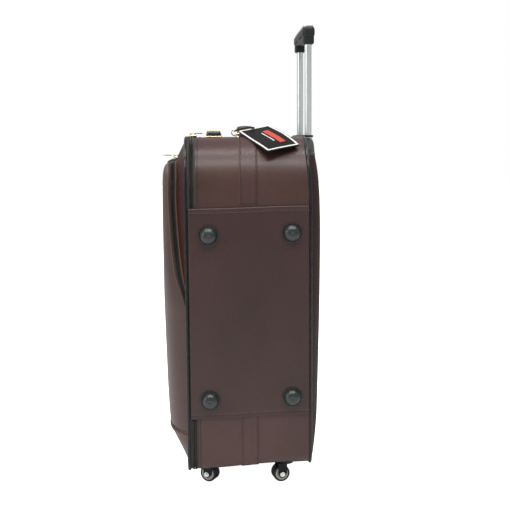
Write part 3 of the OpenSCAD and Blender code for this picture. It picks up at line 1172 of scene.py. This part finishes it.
@dataclass
class MainZip:
    """The tapes, the coils and the two sliders of the zip round the lid."""

    middle: float = -87.2

    def tapes(self) -> None:
        """Two woven tapes with a coil along each one's edge."""
        for name, body, sign, node, start, end in (
            ("rear", "case", 1, "main_zip_tape_rear", -87.0, -80.6),
            ("front", "lid", -1, "main_zip_tape_front", -94.4, -87.4),
        ):
            path, out = CASE.path(0.0, 4.0)
            side = np.broadcast_to(Y_AXIS, path.shape)
            y = np.linspace(start, end, 12)
            lift = -0.5 + 0.15 * np.cos((y - start) * 2.2)
            profile = np.concatenate([np.stack([lift, y], axis=1), [[-1.4, end], [-1.4, start]]])
            Piece(f"zip_tape_{name}", Finish.TAPE, body, "zip_tape", [node], droops=True).build(
                sweep(path, out, side, profile, closed=True)
            )
            line = path + out * 0.1 + Y_AXIS * (self.middle + sign * 1.75)
            Piece(f"zip_teeth_{name}", Finish.TEETH, body, "zip_tape", droops=True).build(
                coil(line, out, side, closed=True)
            )

    def slider(self, name: str, x: float, y: float, z: float, body: str, node: str) -> None:
        """A slider: a waisted body and the loop that holds its puller.

        Args:
            name: The name to use.
            x: Place across the case.
            y: Place from front to rear.
            z: Height.
            body: The body it rides on.
            node: The CAD node it stands for.
        """
        base = rounded_box((x - 4.6, y - 5.2, z), (x + 4.6, y + 5.4, z + 3.3), 1.5)
        waist = base.verts
        near = np.abs(waist[:, 1] - y) / 5.4
        waist[:, 0] = x + (waist[:, 0] - x) * (0.72 + 0.28 * near**1.5)
        turn = np.linspace(0.0, math.pi, 14)
        loop = np.stack([np.full(14, x), y - 1 + 4.4 * np.cos(turn), z + 2.2 + 4.6 * np.sin(turn)], axis=1)
        Piece(name, Finish.GOLD, body, "gold", [node]).build(base + tube(loop, 1.0, (1, 0, 0)))

    def puller(self, name: str, pivot: Sequence[float], reach: float, body: str, node: str) -> None:
        """A puller: a small eye, a neck and a long flat tab with a slot.

        Args:
            name: The name to use.
            pivot: The hinge point.
            reach: Signed length: positive runs to the rear.
            body: The body it rides on.
            node: The CAD node it stands for.
        """
        x, y, z = pivot
        way = 1.0 if reach > 0 else -1.0
        turn = full_turn(24)
        eye = np.stack([x + 2.1 * np.cos(turn), y + way * (1.6 + 2.9 * np.sin(turn)), np.full(24, z)], axis=1)
        size = abs(reach) - 4.0
        at = np.linspace(0.0, 1.0, 16)
        flare, end = np.clip(at * 1.25, 0, 1), np.clip(at * 6 - 5, 0, 1)
        half = 1.5 + 1.6 * np.sin(flare * math.pi / 2) ** 2 - 1.4 * end**2
        lift = z + 0.3 * np.sin(at * math.pi)
        middle = np.stack([np.full(16, x), y + way * (4.0 + at * size), lift], axis=1)
        ring = circle(1.0, 16)
        square = squared(ring, 0.6)
        points = middle[:, None, :] + np.stack(
            [
                half[:, None] * square[None, :, 0],
                np.zeros((16, 16)),
                0.85 * np.repeat(square[None, :, 1], 16, axis=0),
            ],
            axis=-1,
        )
        shape = tube(eye, 0.8, (0, 0, 1), closed=True) + surface(points, wrap_v=True, caps=True)
        Piece(name, Finish.GOLD, body, "gold", [node]).build(shape)

    def build(self) -> None:
        """Builds the zip."""
        self.tapes()
        for side, x in (("left", -9.0), ("right", 9.0)):
            self.slider(f"slider_{side}", x, self.middle, 551.0, f"main_slider_{side}", f"main_slider_{side}")
            pivot = (x, self.middle - 1.0, 556.8)
            self.puller(f"puller_{side}", pivot, 15.5, f"main_puller_{side}", f"main_puller_{side}")


@dataclass
class Lid:
    """The lid's leather, and the pocket that bends out of it."""

    pocket_top: float = 511.5
    pocket_r: float = 33.0
    zip_foot: float = 276.0
    band: float = 12.6
    bead_z: float = 91.0
    seam_top: float = 262.0
    full_z: float = 345.0
    fold: tuple[str, Sequence[float], Sequence[float]] = ("pocket_flap", (0, -137, 330), (0, -137, 400))

    def arch(self, z: Array) -> Array:
        """The pocket zip's half width at a height: it flares out to the lid's seam towards its foot.

        Args:
            z: Height.

        Returns:
            The half width in millimetres.
        """
        straight = curve_of(
            [
                (262, 177), (290, 175.6), (313, 170.4), (337, 161.5),
                (386, 146), (434, 134.5), (470, 129.5), (520, 129),
            ],
            z,
        )
        corner = np.clip((z - (self.pocket_top - self.pocket_r)) / self.pocket_r, 0.0, 1.0)
        return straight - self.pocket_r * (1 - np.sqrt(1 - corner**2))

    def band_way(self, z: Array) -> tuple[Array, Array]:
        """How far the zip's band reaches inwards and forwards at a height, as shares of its width.

        Args:
            z: Height.

        Returns:
            The inward share and the forward share.
        """
        inwards = 0.35 * (1 - ease(z, 300.0, 400.0))
        share = (0.22 + 0.78 * ease(z, self.zip_foot, self.full_z)) / np.sqrt(1 + inwards**2)
        return inwards * share, share

    def width(self, z: Array) -> Array:
        """The front panel's half width at a height.

        Args:
            z: Height.

        Returns:
            The half width in millimetres.
        """
        corner = np.clip((LID.low + LID.bottom_r - z) / LID.bottom_r, 0.0, 1.0)
        low = LID.half - LID.bottom_r * (1 - np.sqrt(1 - corner**2))
        tuck = self.band * self.band_way(z)[0] * ease(z, self.seam_top, self.seam_top + 20.0)
        return np.where(z < self.seam_top, low, self.arch(z) - tuck)

    def front_depth(self, z: Array) -> Array:
        """Depth of the front panel's middle at a height.

        Args:
            z: Height.

        Returns:
            The depth in millimetres.
        """
        return curve_of(
            [
                (43, 0), (46, 6), (56, 15.5), (69, 24.5), (81, 31), (88, 33.8), (92, 35), (120, 37.6),
                (163, 39.8), (205, 41), (262, 42), (300, 42.6), (466, 42.6), (492, 41.8), (505, 39),
                (511.5, 33),
            ],
            z,
        )

    def edge_depth(self, z: Array) -> Array:
        """Depth of the front panel's side edges at a height."""
        return (lid_depth(self.arch(z), z) + self.band * self.band_way(z)[1]) * ease(z, 264.0, 284.0)

    def front_points(self, rows: Array) -> Array:
        """The front panel's surface, from the lid's foot to the pocket's top.

        Args:
            rows: Heights of the rows.

        Returns:
            A grid of points, row by row.
        """
        power = 3.2 + 2.8 * ease(rows, 60.0, 110.0) + 1.5 * ease(rows, self.seam_top, self.full_z)
        depth, edge = self.front_depth(rows), self.edge_depth(rows)
        points = dome(rows, self.width(rows), depth, power, -FRONT_SEAM, edge)
        above, below = rows - self.bead_z - 2.4, rows - self.bead_z + 2.6
        crease = 1.8 * groove(above, 1.8) + 0.8 * groove(below, 2)
        points[..., 1] += crease[:, None] * (1 - np.abs(ACROSS) ** 6)[None, :]
        x, z = points[..., 0], points[..., 2]
        points[..., 1] += 0.5 * np.sin(x / 47 + z / 61) * np.sin(z / 43) * (1 - np.abs(ACROSS) ** 4)[None, :]
        return points

    def covers(self) -> None:
        """The lid's leather behind the pocket, and the long front panel that covers the rest."""
        rows, width = LID.rows(70)
        keep = rows > 250.0
        rows, width = rows[keep], width[keep]
        x = width[:, None] * ACROSS
        z = np.repeat(rows[:, None], 61, axis=1)
        points = np.stack([x, -(FRONT_SEAM + lid_depth(x, z)), z], axis=-1)
        # The lid's leather behind the pocket carries painted shade: its finish is a darker, redder copy of
        # the case leather.
        Piece(
            "lid_leather_painted_shade", Finish.HIDE_LID_SHADED, "lid", "leather", ["lid_cover"], WALL, (0, -1, 0), 60.0
        ).build(surface(points))
        turn = np.linspace(0.0, math.pi / 2, 14)
        rows = np.concatenate(
            [
                LID.low + LID.bottom_r * (1 - np.cos(turn[:-1])),
                np.linspace(LID.low + LID.bottom_r, self.pocket_top - self.pocket_r, 130)[:-1],
                self.pocket_top - self.pocket_r * (1 - np.sin(turn)),
            ]
        )
        Piece(
            "front_panel_leather", Finish.HIDE_FRONT, "lid", "leather",
            ["lid_lower_cover", "pocket_base", "pocket_cover"],
            WALL, (0, -1, 0), 60.0, self.fold, 0.8, True,
        ).build(surface(self.front_points(rows)))
        bead = self.front_points(np.array([self.bead_z]))[0]
        bead = bead[2:-2] + np.array([0.0, -0.7, 0.0])
        Piece("front_bead", Finish.HIDE_BEAD, "lid", "leather", droops=True).build(tube(bead, 1.9, (0, 0, 1)))
        normal = np.broadcast_to(np.array([0.0, -1.0, 0.2]), bead.shape)
        thread = self.front_points(np.array([self.bead_z + 5.5]))[0][2:-2] + np.array([0, -0.1, 0])
        Piece("front_stitches", Finish.THREAD, "lid", "leather", droops=True).build(stitches(thread, normal))

    def zip_path(self) -> tuple[Array, Array, Array]:
        """The pocket zip's run on the lid.

        Returns:
            Points on the lid (N, 3), outward normals in the lid's plane, and the zip's own width direction.
        """
        turn = np.linspace(0.0, math.pi / 2, 16)
        side = np.concatenate(
            [
                np.linspace(self.zip_foot, self.pocket_top - self.pocket_r, 90)[:-1],
                self.pocket_top - self.pocket_r * (1 - np.sin(turn)),
            ]
        )
        half = self.arch(side)
        x = np.concatenate([half, -half[::-1]])
        z = np.concatenate([side, side[::-1]])
        flat = resample(np.stack([x, 0 * x, z], axis=1), 3.0)
        flat[:, 0] = np.clip(flat[:, 0], 1 - LID.half, LID.half - 1)
        along = tangents(flat)
        out = np.cross(Y_AXIS, along)
        path = flat.copy()
        path[:, 1] = -(FRONT_SEAM + lid_depth(flat[:, 0], flat[:, 2]))
        inwards, share = (way[:, None] for way in self.band_way(flat[:, 2]))
        return path, out, -Y_AXIS * share - out * inwards

    def pocket_zip(self) -> None:
        """Tapes, leather edges and coils up one side of the pocket, over its top and down the other."""
        path, out, across = self.zip_path()
        level = unit_vectors(across)
        out = unit_vectors(out - level * np.sum(out * level, axis=1, keepdims=True))
        for name, start, end, sign, bend, node in (
            ("rear", 0.4, 6.1, -1, None, "pocket_zip_tape_rear"),
            ("front", 6.5, 12.8, 1, self.fold, "pocket_zip_tape_front"),
        ):
            v = np.linspace(start, end, 10)
            lift = -0.2 + 0.12 * np.cos(v * 2.4)
            profile = np.concatenate([np.stack([lift, v], axis=1), [[-1.2, end], [-1.2, start]]])
            Piece(f"pocket_tape_{name}", Finish.TAPE, "lid", "zip_tape", [node], bend=bend).build(
                sweep(path, out, across, profile, closed=False)
            )
            line = path + out * 0.35 + across * (6.3 + sign * 1.6)
            Piece(f"pocket_teeth_{name}", Finish.TEETH, "lid", "zip_tape", bend=bend).build(
                coil(line, out, across, closed=False)
            )
            edge = path + out * 0.2 + across * (0.5 if sign < 0 else 12.6)
            Piece(f"pocket_edge_{name}", Finish.EDGE, "lid", "leather", bend=bend).build(
                sweep(edge, out, across, circle(0.95, 8), closed=False)
            )

    def build(self) -> None:
        """Builds the lid and the pocket."""
        self.covers()
        self.pocket_zip()
        zipper = MainZip()
        x, y, z = -99.0, -120.5, 512.8
        zipper.slider("pocket_zip_slider", x, y, z, "pocket_slider", "pocket_slider")
        zipper.puller("pocket_zip_puller", (x, -124.0, 518.2), -22.0, "pocket_puller", "pocket_puller")


@dataclass
class Lock:
    """The fixed combination lock: a dark body on a pale gold plate, three dials and a button."""

    middle: tuple[float, float] = (0.0, -53.0)
    top: float = 550.0

    def build(self) -> None:
        """Builds the lock."""
        x, y = self.middle
        z = self.top
        body = rounded_box((x - 27, y - 12.0, z + 0.6), (x + 27, y + 12.0, z + 11), 3.6)
        Piece("lock_case", Finish.LOCK, "case", "lock", ["lock_body"]).build(body)
        plate = rounded_box((x - 30, y - 13, z + 0.2), (x + 30, y + 14, z + 2.4), 1.0)
        arches = [
            tube(
                np.stack(
                    [
                        np.full(20, at),
                        y + 12.4 * np.cos(np.linspace(0, math.pi, 20)),
                        z + 1.0 + 10.4 * np.sin(np.linspace(0, math.pi, 20)) ** 0.5,
                    ],
                    axis=1,
                ),
                0.8,
                (1, 0, 0),
            )
            for at in (x - 24.0, x + 24.0)
        ]
        Piece("lock_plate", Finish.GOLD, "case", "gold").build(join([plate, *arches]))
        profile = [(0.01, -2.4), (5.4, -2.4), (6.0, -1.9), (6.0, 1.9), (5.4, 2.4), (0.01, 2.4)]
        dial = lathe(profile, 80, (10, 0.28)).placed(ALONG_X)
        for number in range(3):
            at = x - 16.2 + 9.0 * number
            node = f"lock_dial_{number + 1}"
            Piece(f"dial_{number + 1}", Finish.DIAL, node, "dial", [node]).build(
                dial.moved(at, y, z + 7.2)
            )
            frame = rounded_box((at - 3.4, y - 5.0, z + 10.4), (at + 3.4, y + 5.0, z + 11.6), 0.5)
            Piece(f"dial_frame_{number + 1}", Finish.BLACK, "case", "black_plastic").build(frame)
        button = rounded_box((x + 13.4, y - 5.6, z + 7.5), (x + 24, y + 5.6, z + 13.5), 1.6)
        Piece("lock_push", Finish.GOLD, "lock_button", "gold", ["lock_button"]).build(button)


@dataclass
class TelescopicHandle:
    """The drawn handle: two brushed tubes, and a dark grip with a bright insert and a button."""

    tube_x: float = 80.0
    tube_y: float = 99.6
    grip_z: float = 706.0
    tube_foot: float = 262.0
    tube_size: tuple[float, float, float] = (10.0, 20.0, 2.6)

    def section(self, deep: float, wide: float, radius: float) -> Array:
        """A rounded rectangle with a shallow groove down each broad face, as (x, y) points.

        Args:
            deep: Size from front to rear.
            wide: Size from side to side.
            radius: The corners' radius.

        Returns:
            The outline's points.
        """
        turn = np.linspace(0.0, math.pi / 2, 6)
        parts = []
        for k, (sx, sy) in enumerate(((1, 1), (-1, 1), (-1, -1), (1, -1))):
            angle = turn + k * math.pi / 2
            parts.append(
                np.stack(
                    [
                        sx * (wide / 2 - radius) + radius * np.cos(angle),
                        sy * (deep / 2 - radius) + radius * np.sin(angle),
                    ],
                    axis=1,
                )
            )
            if k in (0, 2):
                groove = np.array([[2.2, 0.0], [1.4, -0.7], [-1.4, -0.7], [-2.2, 0.0]])
                parts.append(groove * sy + [0.0, sy * deep / 2])
        return np.concatenate(parts)

    def pillar(self, x: float, low: float, high: float, deep: float, wide: float, radius: float) -> Shape:
        """One tube, standing.

        Args:
            x: Place across the case.
            low: Height of its foot.
            high: Height of its top.
            deep: Size from front to rear.
            wide: Size from side to side.
            radius: The corners' radius.

        Returns:
            The tube.
        """
        section = self.section(deep, wide, radius)
        z = np.array([low, high])
        points = np.stack(
            [
                np.repeat(section[None, :, 0] + x, 2, axis=0),
                np.repeat(section[None, :, 1] + self.tube_y, 2, axis=0),
                np.repeat(z[:, None], len(section), axis=1),
            ],
            axis=-1,
        )
        return surface(points, wrap_v=True, caps=True)

    def build(self) -> None:
        """Builds the handle."""
        y, z = self.tube_y, self.grip_z
        inner = join(
            [self.pillar(s * self.tube_x, self.tube_foot, z + 4, *self.tube_size) for s in (-1, 1)]
        )
        Piece("inner_tube_pair", Finish.ALUMINIUM, "inner_stage", "aluminium", ["inner_tubes"]).build(inner)
        parts = [rounded_box((-95, y - 10, z), (95, y + 10, z + 19), 6.5)]
        for s in (-1, 1):
            x = s * self.tube_x
            parts.append(rounded_box((x - 13, y - 8.8, z - 10), (x + 13, y + 8.8, z + 8), 3.2))
        rib_x = np.linspace(-60, 60, 25)
        ribs = [
            rounded_box((x - 1.4, y - 10.4, z + 2.5), (x + 1.4, y + 10.4, z + 8), 1.2, 3)
            for x in rib_x
            if abs(x) > 24
        ]
        Piece("grip_shell", Finish.GRIP, "inner_stage", "grip", ["grip_body"]).build(join(parts + ribs))
        insert = rounded_box((-92, y - 7.6, z + 14), (92, y + 7.6, z + 23), 3.8)
        Piece("grip_insert", Finish.ALUMINIUM, "inner_stage", "grip_insert", ["grip_cap"]).build(insert)
        button = rounded_box((-20.6, y - 5.6, z + 15), (20.6, y + 5.6, z + 24.5), 2.4)
        Piece("grip_push", Finish.BLACK, "grip_release", "black_plastic", ["grip_button"]).build(button)


@dataclass
class CarryHandles:
    """Two padded leather handles, each bent between its gold brackets."""

    reach: float = 84.0
    staple_at: float = 73.0
    bends_between: tuple[float, float] = (66.0, 28.0)

    def strip(self, sign: float) -> Array:
        """Half of a pad as a swept oval that thins into a flat end, with z from the strap's face.

        Args:
            sign: 1 for one end and -1 for the other.

        Returns:
            A grid of points.
        """
        at = np.linspace(0.0, self.reach, 44)
        middle = curve_of([(0, 12.6), (20, 12.3), (40, 9.9), (52, 6.0), (60, 3.2), (66, 1.8), (84, 1.7)], at)
        thick = curve_of([(0, 4.8), (40, 4.6), (52, 3.9), (60, 2.5), (66, 1.5), (84, 1.3)], at)
        wide = curve_of([(0, 13.5), (50, 13.3), (62, 11.6), (84, 11.0)], at)
        turn = full_turn(32)
        cos, sin = np.cos(turn), np.sin(turn)
        oval_y, oval_z = squared(cos, 0.7), squared(sin, 0.8)
        return np.stack(
            [
                np.repeat((sign * at)[:, None], 32, axis=1),
                wide[:, None] * oval_y[None, :],
                middle[:, None] + thick[:, None] * oval_z[None, :],
            ],
            axis=-1,
        )

    def bracket(self, sign: float) -> Shape:
        """A gold staple over the handle's end, with a bead along each side.

        Args:
            sign: 1 for one end and -1 for the other.

        Returns:
            The staple.
        """
        turn = full_turn(40)
        cos, sin = np.cos(turn), np.sin(turn)
        loop = np.stack(
            [
                np.full(40, sign * self.staple_at),
                15.0 * np.sign(cos) * np.abs(cos) ** 0.25,
                2.6 + 3.0 * np.sign(sin) * np.abs(sin) ** 0.25,
            ],
            axis=1,
        )
        out = unit_vectors(np.stack([0 * cos, cos * 0.4, sin], axis=1))
        side = np.broadcast_to(np.array([1.0, 0, 0]), loop.shape)
        ring = circle(1.0, 16)
        flat = squared(ring, 0.5) * np.array([0.8, 6.6])
        return sweep(loop, out, side, flat, closed=True)

    def thread(self, sign: float) -> Shape:
        """Thread along both sides of a pad's upper face.

        Args:
            sign: 1 for one end and -1 for the other.

        Returns:
            Both rows of stitches.
        """
        half = self.strip(sign)
        rows = []
        for column in (3, 13):
            path = half[:30, column] + np.array([0.0, 0.0, 0.1])
            normal = np.broadcast_to(np.array([0.0, 0.35 if column < 8 else -0.35, 1.0]), path.shape)
            rows.append(stitches(path, normal))
        return join(rows)

    def build(self) -> None:
        """Builds the top handle and the side handle."""
        top = (np.eye(3), (0.0, 0.0, 551.2))
        free = (turn_about("Y", -90.0), (-181.2, 0.0, 295.0))
        for name, body, (matrix, offset) in (("top", "top_handle", top), ("side", "side_handle", free)):
            for label, sign in (("left", -1.0), ("right", 1.0)):
                start, end = (
                    (matrix @ np.array([sign * at, 0.0, 0.0]) + np.array(offset)).tolist()
                    for at in self.bends_between
                )
                bend = (body, start, end)
                gone = [f"{name}_handle"] if sign > 0 else []
                if name == "top" and sign > 0:
                    gone.append("handle_ends")
                Piece(
                    f"{name}_pad_{label}", Finish.HIDE, "case", "leather", gone, sharp=70, bend=bend, fill=0.7
                ).build(surface(self.strip(sign), wrap_v=True, caps=True).placed(matrix, offset))
                Piece(f"{name}_pad_stitches_{label}", Finish.THREAD, "case", "leather", bend=bend).build(
                    self.thread(sign).placed(matrix, offset)
                )
            wrap = self.strip(1.0)[:5]
            wrap = np.concatenate([self.strip(-1.0)[1:5][::-1], wrap])
            centre = wrap.mean(axis=1, keepdims=True)
            shape = surface(centre + (wrap - centre) * 1.07, wrap_v=True, caps=True)
            Piece(f"{name}_pad_wrap", Finish.HIDE, body, "leather", sharp=70).build(
                shape.placed(matrix, offset)
            )
            gone = ["carry_brackets"] if name == "top" else []
            staples = join([self.bracket(-1.0), self.bracket(1.0)]).placed(matrix, offset)
            Piece(f"{name}_staples", Finish.GOLD, "case", "gold", gone).build(staples)


@dataclass
class LuggageTag:
    """A black card with a stitched white border, on a short strap and a gold ring."""

    middle: tuple[float, float, float] = (129.0, 33.0, 548.8)
    turns: tuple[float, float, float] = (11.2, 18.4, 28.2)
    size: tuple[float, float] = (98.0, 58.0)
    thick: float = 2.4
    margin: float = 3.0
    ring_at: tuple[float, float, float] = (73.0, -19.0, 558.0)
    ring_r: float = 4.8

    def frame(self) -> tuple[Array, Array]:
        """The card's turn and its middle."""
        x, y, z = self.turns
        return turn_about("Z", z) @ turn_about("Y", y) @ turn_about("X", x), np.array(self.middle)

    def sag(self, shape: Shape) -> Shape:
        """Curls the card a little along its length and lifts one corner.

        Args:
            shape: The shape to change.

        Returns:
            The same shape, changed.
        """
        x, y = shape.verts[:, 0], shape.verts[:, 1]
        shape.verts[:, 2] += 1.6 * (x / 49) ** 2 * -1.0 + 0.8 * np.sin(x / 18 + y / 22)
        return shape

    def build(self) -> None:
        """Builds the tag."""
        matrix, middle = self.frame()
        w, h = self.size[0] / 2, self.size[1] / 2
        x, y = np.meshgrid(np.linspace(-1, 1, 50), np.linspace(-1, 1, 30), indexing="ij")
        limit = 1 - 0.035 * np.maximum(0, np.abs(x) + np.abs(y) - 1.6) / 0.4
        top = np.stack([x * w * limit, y * h * limit, np.full(x.shape, self.thick)], axis=-1)
        card = self.sag(surface(top)).placed(matrix, middle)
        facing = (matrix @ np.array([0.0, 0.0, 1.0])).tolist()
        Piece("tag_card", Finish.TAG, "tag", "tag", ["luggage_tag"], self.thick, facing, 60.0).build(card)
        border = rectangle(w - self.margin, h - self.margin)
        border = resample(np.concatenate([border, np.full((4, 1), 2.5)], axis=1), 2.0, closed=True)
        ribbon = rectangle(0.35, 1.5)
        up = np.broadcast_to(np.array([0.0, 0.0, 1.0]), border.shape)
        strip = sweep(border, up, unit_vectors(np.cross(up, tangents(border, True))), ribbon, closed=True)
        Piece("tag_border", Finish.THREAD_WHITE, "tag", "tag", sharp=30).build(
            self.sag(strip).placed(matrix, middle)
        )
        for name, finish, low, high in (
            ("tag_bar_red", Finish.PRINT_RED, (-27.0, 4.0, 2.3), (30.0, 14.0, 3.0)),
            ("tag_bar_white", Finish.THREAD_WHITE, (-20.0, -1.5, 2.3), (20.0, 0.2, 2.9)),
        ):
            gx, gy = np.meshgrid(
                np.linspace(low[0], high[0], 40), np.linspace(low[1], high[1], 8), indexing="ij"
            )
            bar = surface(np.stack([gx, gy, np.full(gx.shape, high[2])], axis=-1))
            Piece(name, finish, "tag", "tag", thickness=0.5, towards=facing).build(
                self.sag(bar).placed(matrix, middle)
            )
        end = matrix @ np.array([-w + 4, 0.0, 3.0]) + middle
        start = np.array([73.0, -20.0, 559.5])
        s = np.linspace(0.0, 1.0, 20)[:, None]
        path = start * (1 - s) + end * s + np.array([0.0, 0.0, 2.0]) * np.sin(s * math.pi)
        side = np.broadcast_to(np.array([1.0, 0.0, 0.0]), path.shape)
        out = unit_vectors(np.cross(tangents(path), side))
        flat = rectangle(0.9, 4.0)
        Piece("tag_strap_leather", Finish.TAG, "tag", "leather", ["tag_strap"]).build(
            sweep(path, out, side, flat, closed=False)
        )
        turn = full_turn(36)
        x, y, z = self.ring_at
        ring = np.stack(
            [x + 0 * turn, y + self.ring_r * np.cos(turn), z + self.ring_r * np.sin(turn)], axis=1
        )
        Piece("tag_ring", Finish.GOLD, "tag", "gold").build(tube(ring, 0.9, (1, 0, 0), closed=True))


@dataclass
class Caster:
    """One caster: a tyre with a groove, a pale hub ring, and an axle with hexagon nuts."""

    name: str
    turn: float
    x: float
    y: float
    wheel_r: float = 13.5
    half: float = 9.0
    trail: float = 8.0
    cheek: float = 3.2

    def build(self) -> None:
        """Builds the wheel and the axle, and leaves the fork to the frame."""
        radians = math.radians(self.turn)
        offset = (
            self.x + self.trail * math.sin(radians), self.y - self.trail * math.cos(radians), self.wheel_r
        )
        matrix = turn_about("Z", self.turn) @ ALONG_X
        h, r = self.half, self.wheel_r
        tyre = [
            (10.2, -h), (12.2, -h), (12.9, -h + 0.4), (r, -h + 1.4), (r, -1.4), (12.7, -0.8), (12.7, 0.8),
            (r, 1.4), (r, h - 1.4), (12.9, h - 0.4), (12.2, h), (10.2, h), (10.2, h - 1.5),
            (10.2, -h + 1.5),
        ]
        turn = full_turn(56)
        profile = np.array(tyre)
        grid = np.stack(
            [
                profile[:, :1] * np.cos(turn),
                profile[:, :1] * np.sin(turn),
                np.repeat(profile[:, 1:], 56, axis=1),
            ],
            axis=-1,
        )
        shape = surface(grid, wrap_u=True, wrap_v=True).placed(matrix, offset)
        body = f"wheel_{self.name}"
        Piece(f"tyre_{self.name}", Finish.TYRE, body, "wheel", [body]).build(shape)
        hub = [
            (2.9, -h + 0.2), (6.6, -h + 0.2), (6.9, -h + 1.2), (7.9, -h + 1.2), (8.2, -h - 0.1),
            (10.1, -h - 0.1), (10.3, -h + 1.0), (10.3, h - 1.0), (10.1, h + 0.1), (8.2, h + 0.1),
            (7.9, h - 1.2), (6.9, h - 1.2), (6.6, h - 0.2), (2.9, h - 0.2),
        ]
        Piece(f"hub_{self.name}", Finish.HUB, body, "wheel").build(lathe(hub).placed(matrix, offset))
        nut = [
            (0.01, 0), (4.4, 0), (4.7, 0.4), (4.7, 1.9), (4.2, 2.5), (2.4, 2.5), (2.4, 3.4), (1.9, 3.8),
            (0.01, 3.8),
        ]
        end = h + self.cheek
        near = lathe(nut, 6).moved(0, 0, end)
        far = near.placed(np.diag([1.0, 1.0, -1.0]))
        rod = lathe([(0.01, -end), (2.5, -end), (2.5, end), (0.01, end)], 20)
        axle = f"axle_{self.name}"
        Piece(f"{axle}_bolt", Finish.STEEL, f"caster_{self.name}", "steel", [axle], sharp=25).build(
            join([near, far, rod]).placed(matrix, offset)
        )


CASTERS = (
    Caster("front_hinge", -25.0, 141.0, -57.0),
    Caster("rear_hinge", 12.0, 141.0, 57.0),
    Caster("front_free", -8.0, -141.0, -57.0),
    Caster("rear_free", 5.0, -141.0, 57.0),
)

CARRIED = {
    Finish.BOARD: ("frame_hoop", "base_board", "back_board"),
    Finish.LINING: ("lining", "lid_board"),
    Finish.ALUMINIUM: ("outer_tubes", "middle_tubes"),
    Finish.BLACK: (
        "handle_bracket", "middle_collars", "caster_plates", "fork_front_hinge", "fork_rear_hinge",
        "fork_front_free", "fork_rear_free",
    ),
}


@dataclass
class Studio:
    """The pale floor, the soft lights and the camera."""

    eye: tuple[float, float, float] = (1.672, -0.041, 0.558)
    yaw: float = -1.93
    pitch: float = 7.12
    roll: float = -0.4
    lens: float = 69.3
    ambient: float = 0.42
    floor_reach: float = 9.0
    lamp_target: tuple[float, float, float] = (0.0, 0.0, 0.33)
    lamps: Sequence[tuple[str, tuple[float, float, float], tuple[float, float], float]] = field(
        default_factory=lambda: (
            ("overhead", (0.22, 0.0, 2.25), (0.26, 2.4), 26.0),
            ("high_front", (1.23, 0.0, 2.2), (0.40, 2.4), 36.0),
            ("left_front", (1.0, -2.0, 1.0), (1.2, 1.2), 13.0),
            ("right_rear", (-1.2, 2.0, 1.9), (1.2, 1.2), 12.0),
            ("far_side", (-1.4, -1.8, 1.6), (1.2, 1.2), 14.0),
        )
    )

    def build(self) -> None:
        """Builds the studio."""
        scene = bpy.context.scene
        scene.view_settings.view_transform = "Standard"
        world = bpy.data.worlds.new("studio")
        scene.world = world
        world.use_nodes = True
        backdrop = world.node_tree.nodes["Background"]
        backdrop.inputs[0].default_value = (1.0, 1.0, 1.0, 1.0)
        seen = world.node_tree.nodes.new("ShaderNodeLightPath")
        level = world.node_tree.nodes.new("ShaderNodeMapRange")
        level.inputs["To Min"].default_value = self.ambient
        level.inputs["To Max"].default_value = 1.0
        world.node_tree.links.new(seen.outputs["Is Camera Ray"], level.inputs["Value"])
        world.node_tree.links.new(level.outputs[0], backdrop.inputs[1])
        mesh = bpy.data.meshes.new("floor")
        corners = [(x, y, 0.0) for x, y in rectangle(self.floor_reach, self.floor_reach)]
        mesh.from_pydata(corners, [], [(0, 1, 2, 3)])
        floor = bpy.data.objects.new("floor", mesh)
        scene.collection.objects.link(floor)
        shader = Shader("pale_floor")
        shader.set("Base Color", (0.93, 0.93, 0.93))
        shader.set("Roughness", 0.9)
        shader.set("Specular IOR Level", 0.0)
        seen = shader.node("ShaderNodeLightPath", {}, {})
        shader.set("Emission Color", (1.0, 1.0, 1.0))
        shader.tree.links.new(seen.outputs["Is Camera Ray"], shader.surface.inputs["Emission Strength"])
        mesh.materials.append(shader.material)
        target = Vector(self.lamp_target)
        for name, place, size, power in self.lamps:
            lamp = bpy.data.lights.new(name, "AREA")
            lamp.shape = "RECTANGLE"
            lamp.size, lamp.size_y = size
            lamp.energy = power
            holder = bpy.data.objects.new(name, lamp)
            holder.location = place
            aim = target - Vector(place)
            holder.rotation_euler = aim.to_track_quat("-Z", "Y").to_euler()
            if place[1] == 0.0:
                holder.rotation_euler = (0.0, math.atan2(-aim.x, -aim.z), 0.0)
            scene.collection.objects.link(holder)
        yaw, pitch, roll = (math.radians(v) for v in (self.yaw, self.pitch, self.roll))
        ahead = Vector((-math.cos(yaw) * math.cos(pitch), -math.sin(yaw) * math.cos(pitch), -math.sin(pitch)))
        right = Vector((-math.sin(yaw), math.cos(yaw), 0.0))
        above = right.cross(ahead)
        across = right * math.cos(roll) + above * math.sin(roll)
        above = across.cross(ahead)
        turn = Matrix((across, above, -ahead)).transposed()
        data = bpy.data.cameras.new("camera")
        data.lens = self.lens
        data.sensor_width = 36.0
        data.clip_start = 0.05
        camera = bpy.data.objects.new("camera", data)
        camera.matrix_world = Matrix.Translation(Vector(self.eye)) @ turn.to_4x4()
        scene.collection.objects.link(camera)
        scene.camera = camera


def main() -> None:
    """Loads the frame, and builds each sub-assembly in order."""
    logging.basicConfig(level=logging.INFO, format="%(message)s")
    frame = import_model()
    for finish, nodes in CARRIED.items():
        for node in nodes:
            slots = frame["nodes"][node].data.materials
            slots.clear()
            slots.append(finish.material())
    parts: list[Any] = [
        CaseShell(), MainZip(), Lid(), Lock(), TelescopicHandle(), CarryHandles(), LuggageTag(),
    ]
    for part in [*parts, *CASTERS, Studio()]:
        part.build()
        LOG.info("built %s", type(part).__name__)


if __name__ == "__main__":
    main()
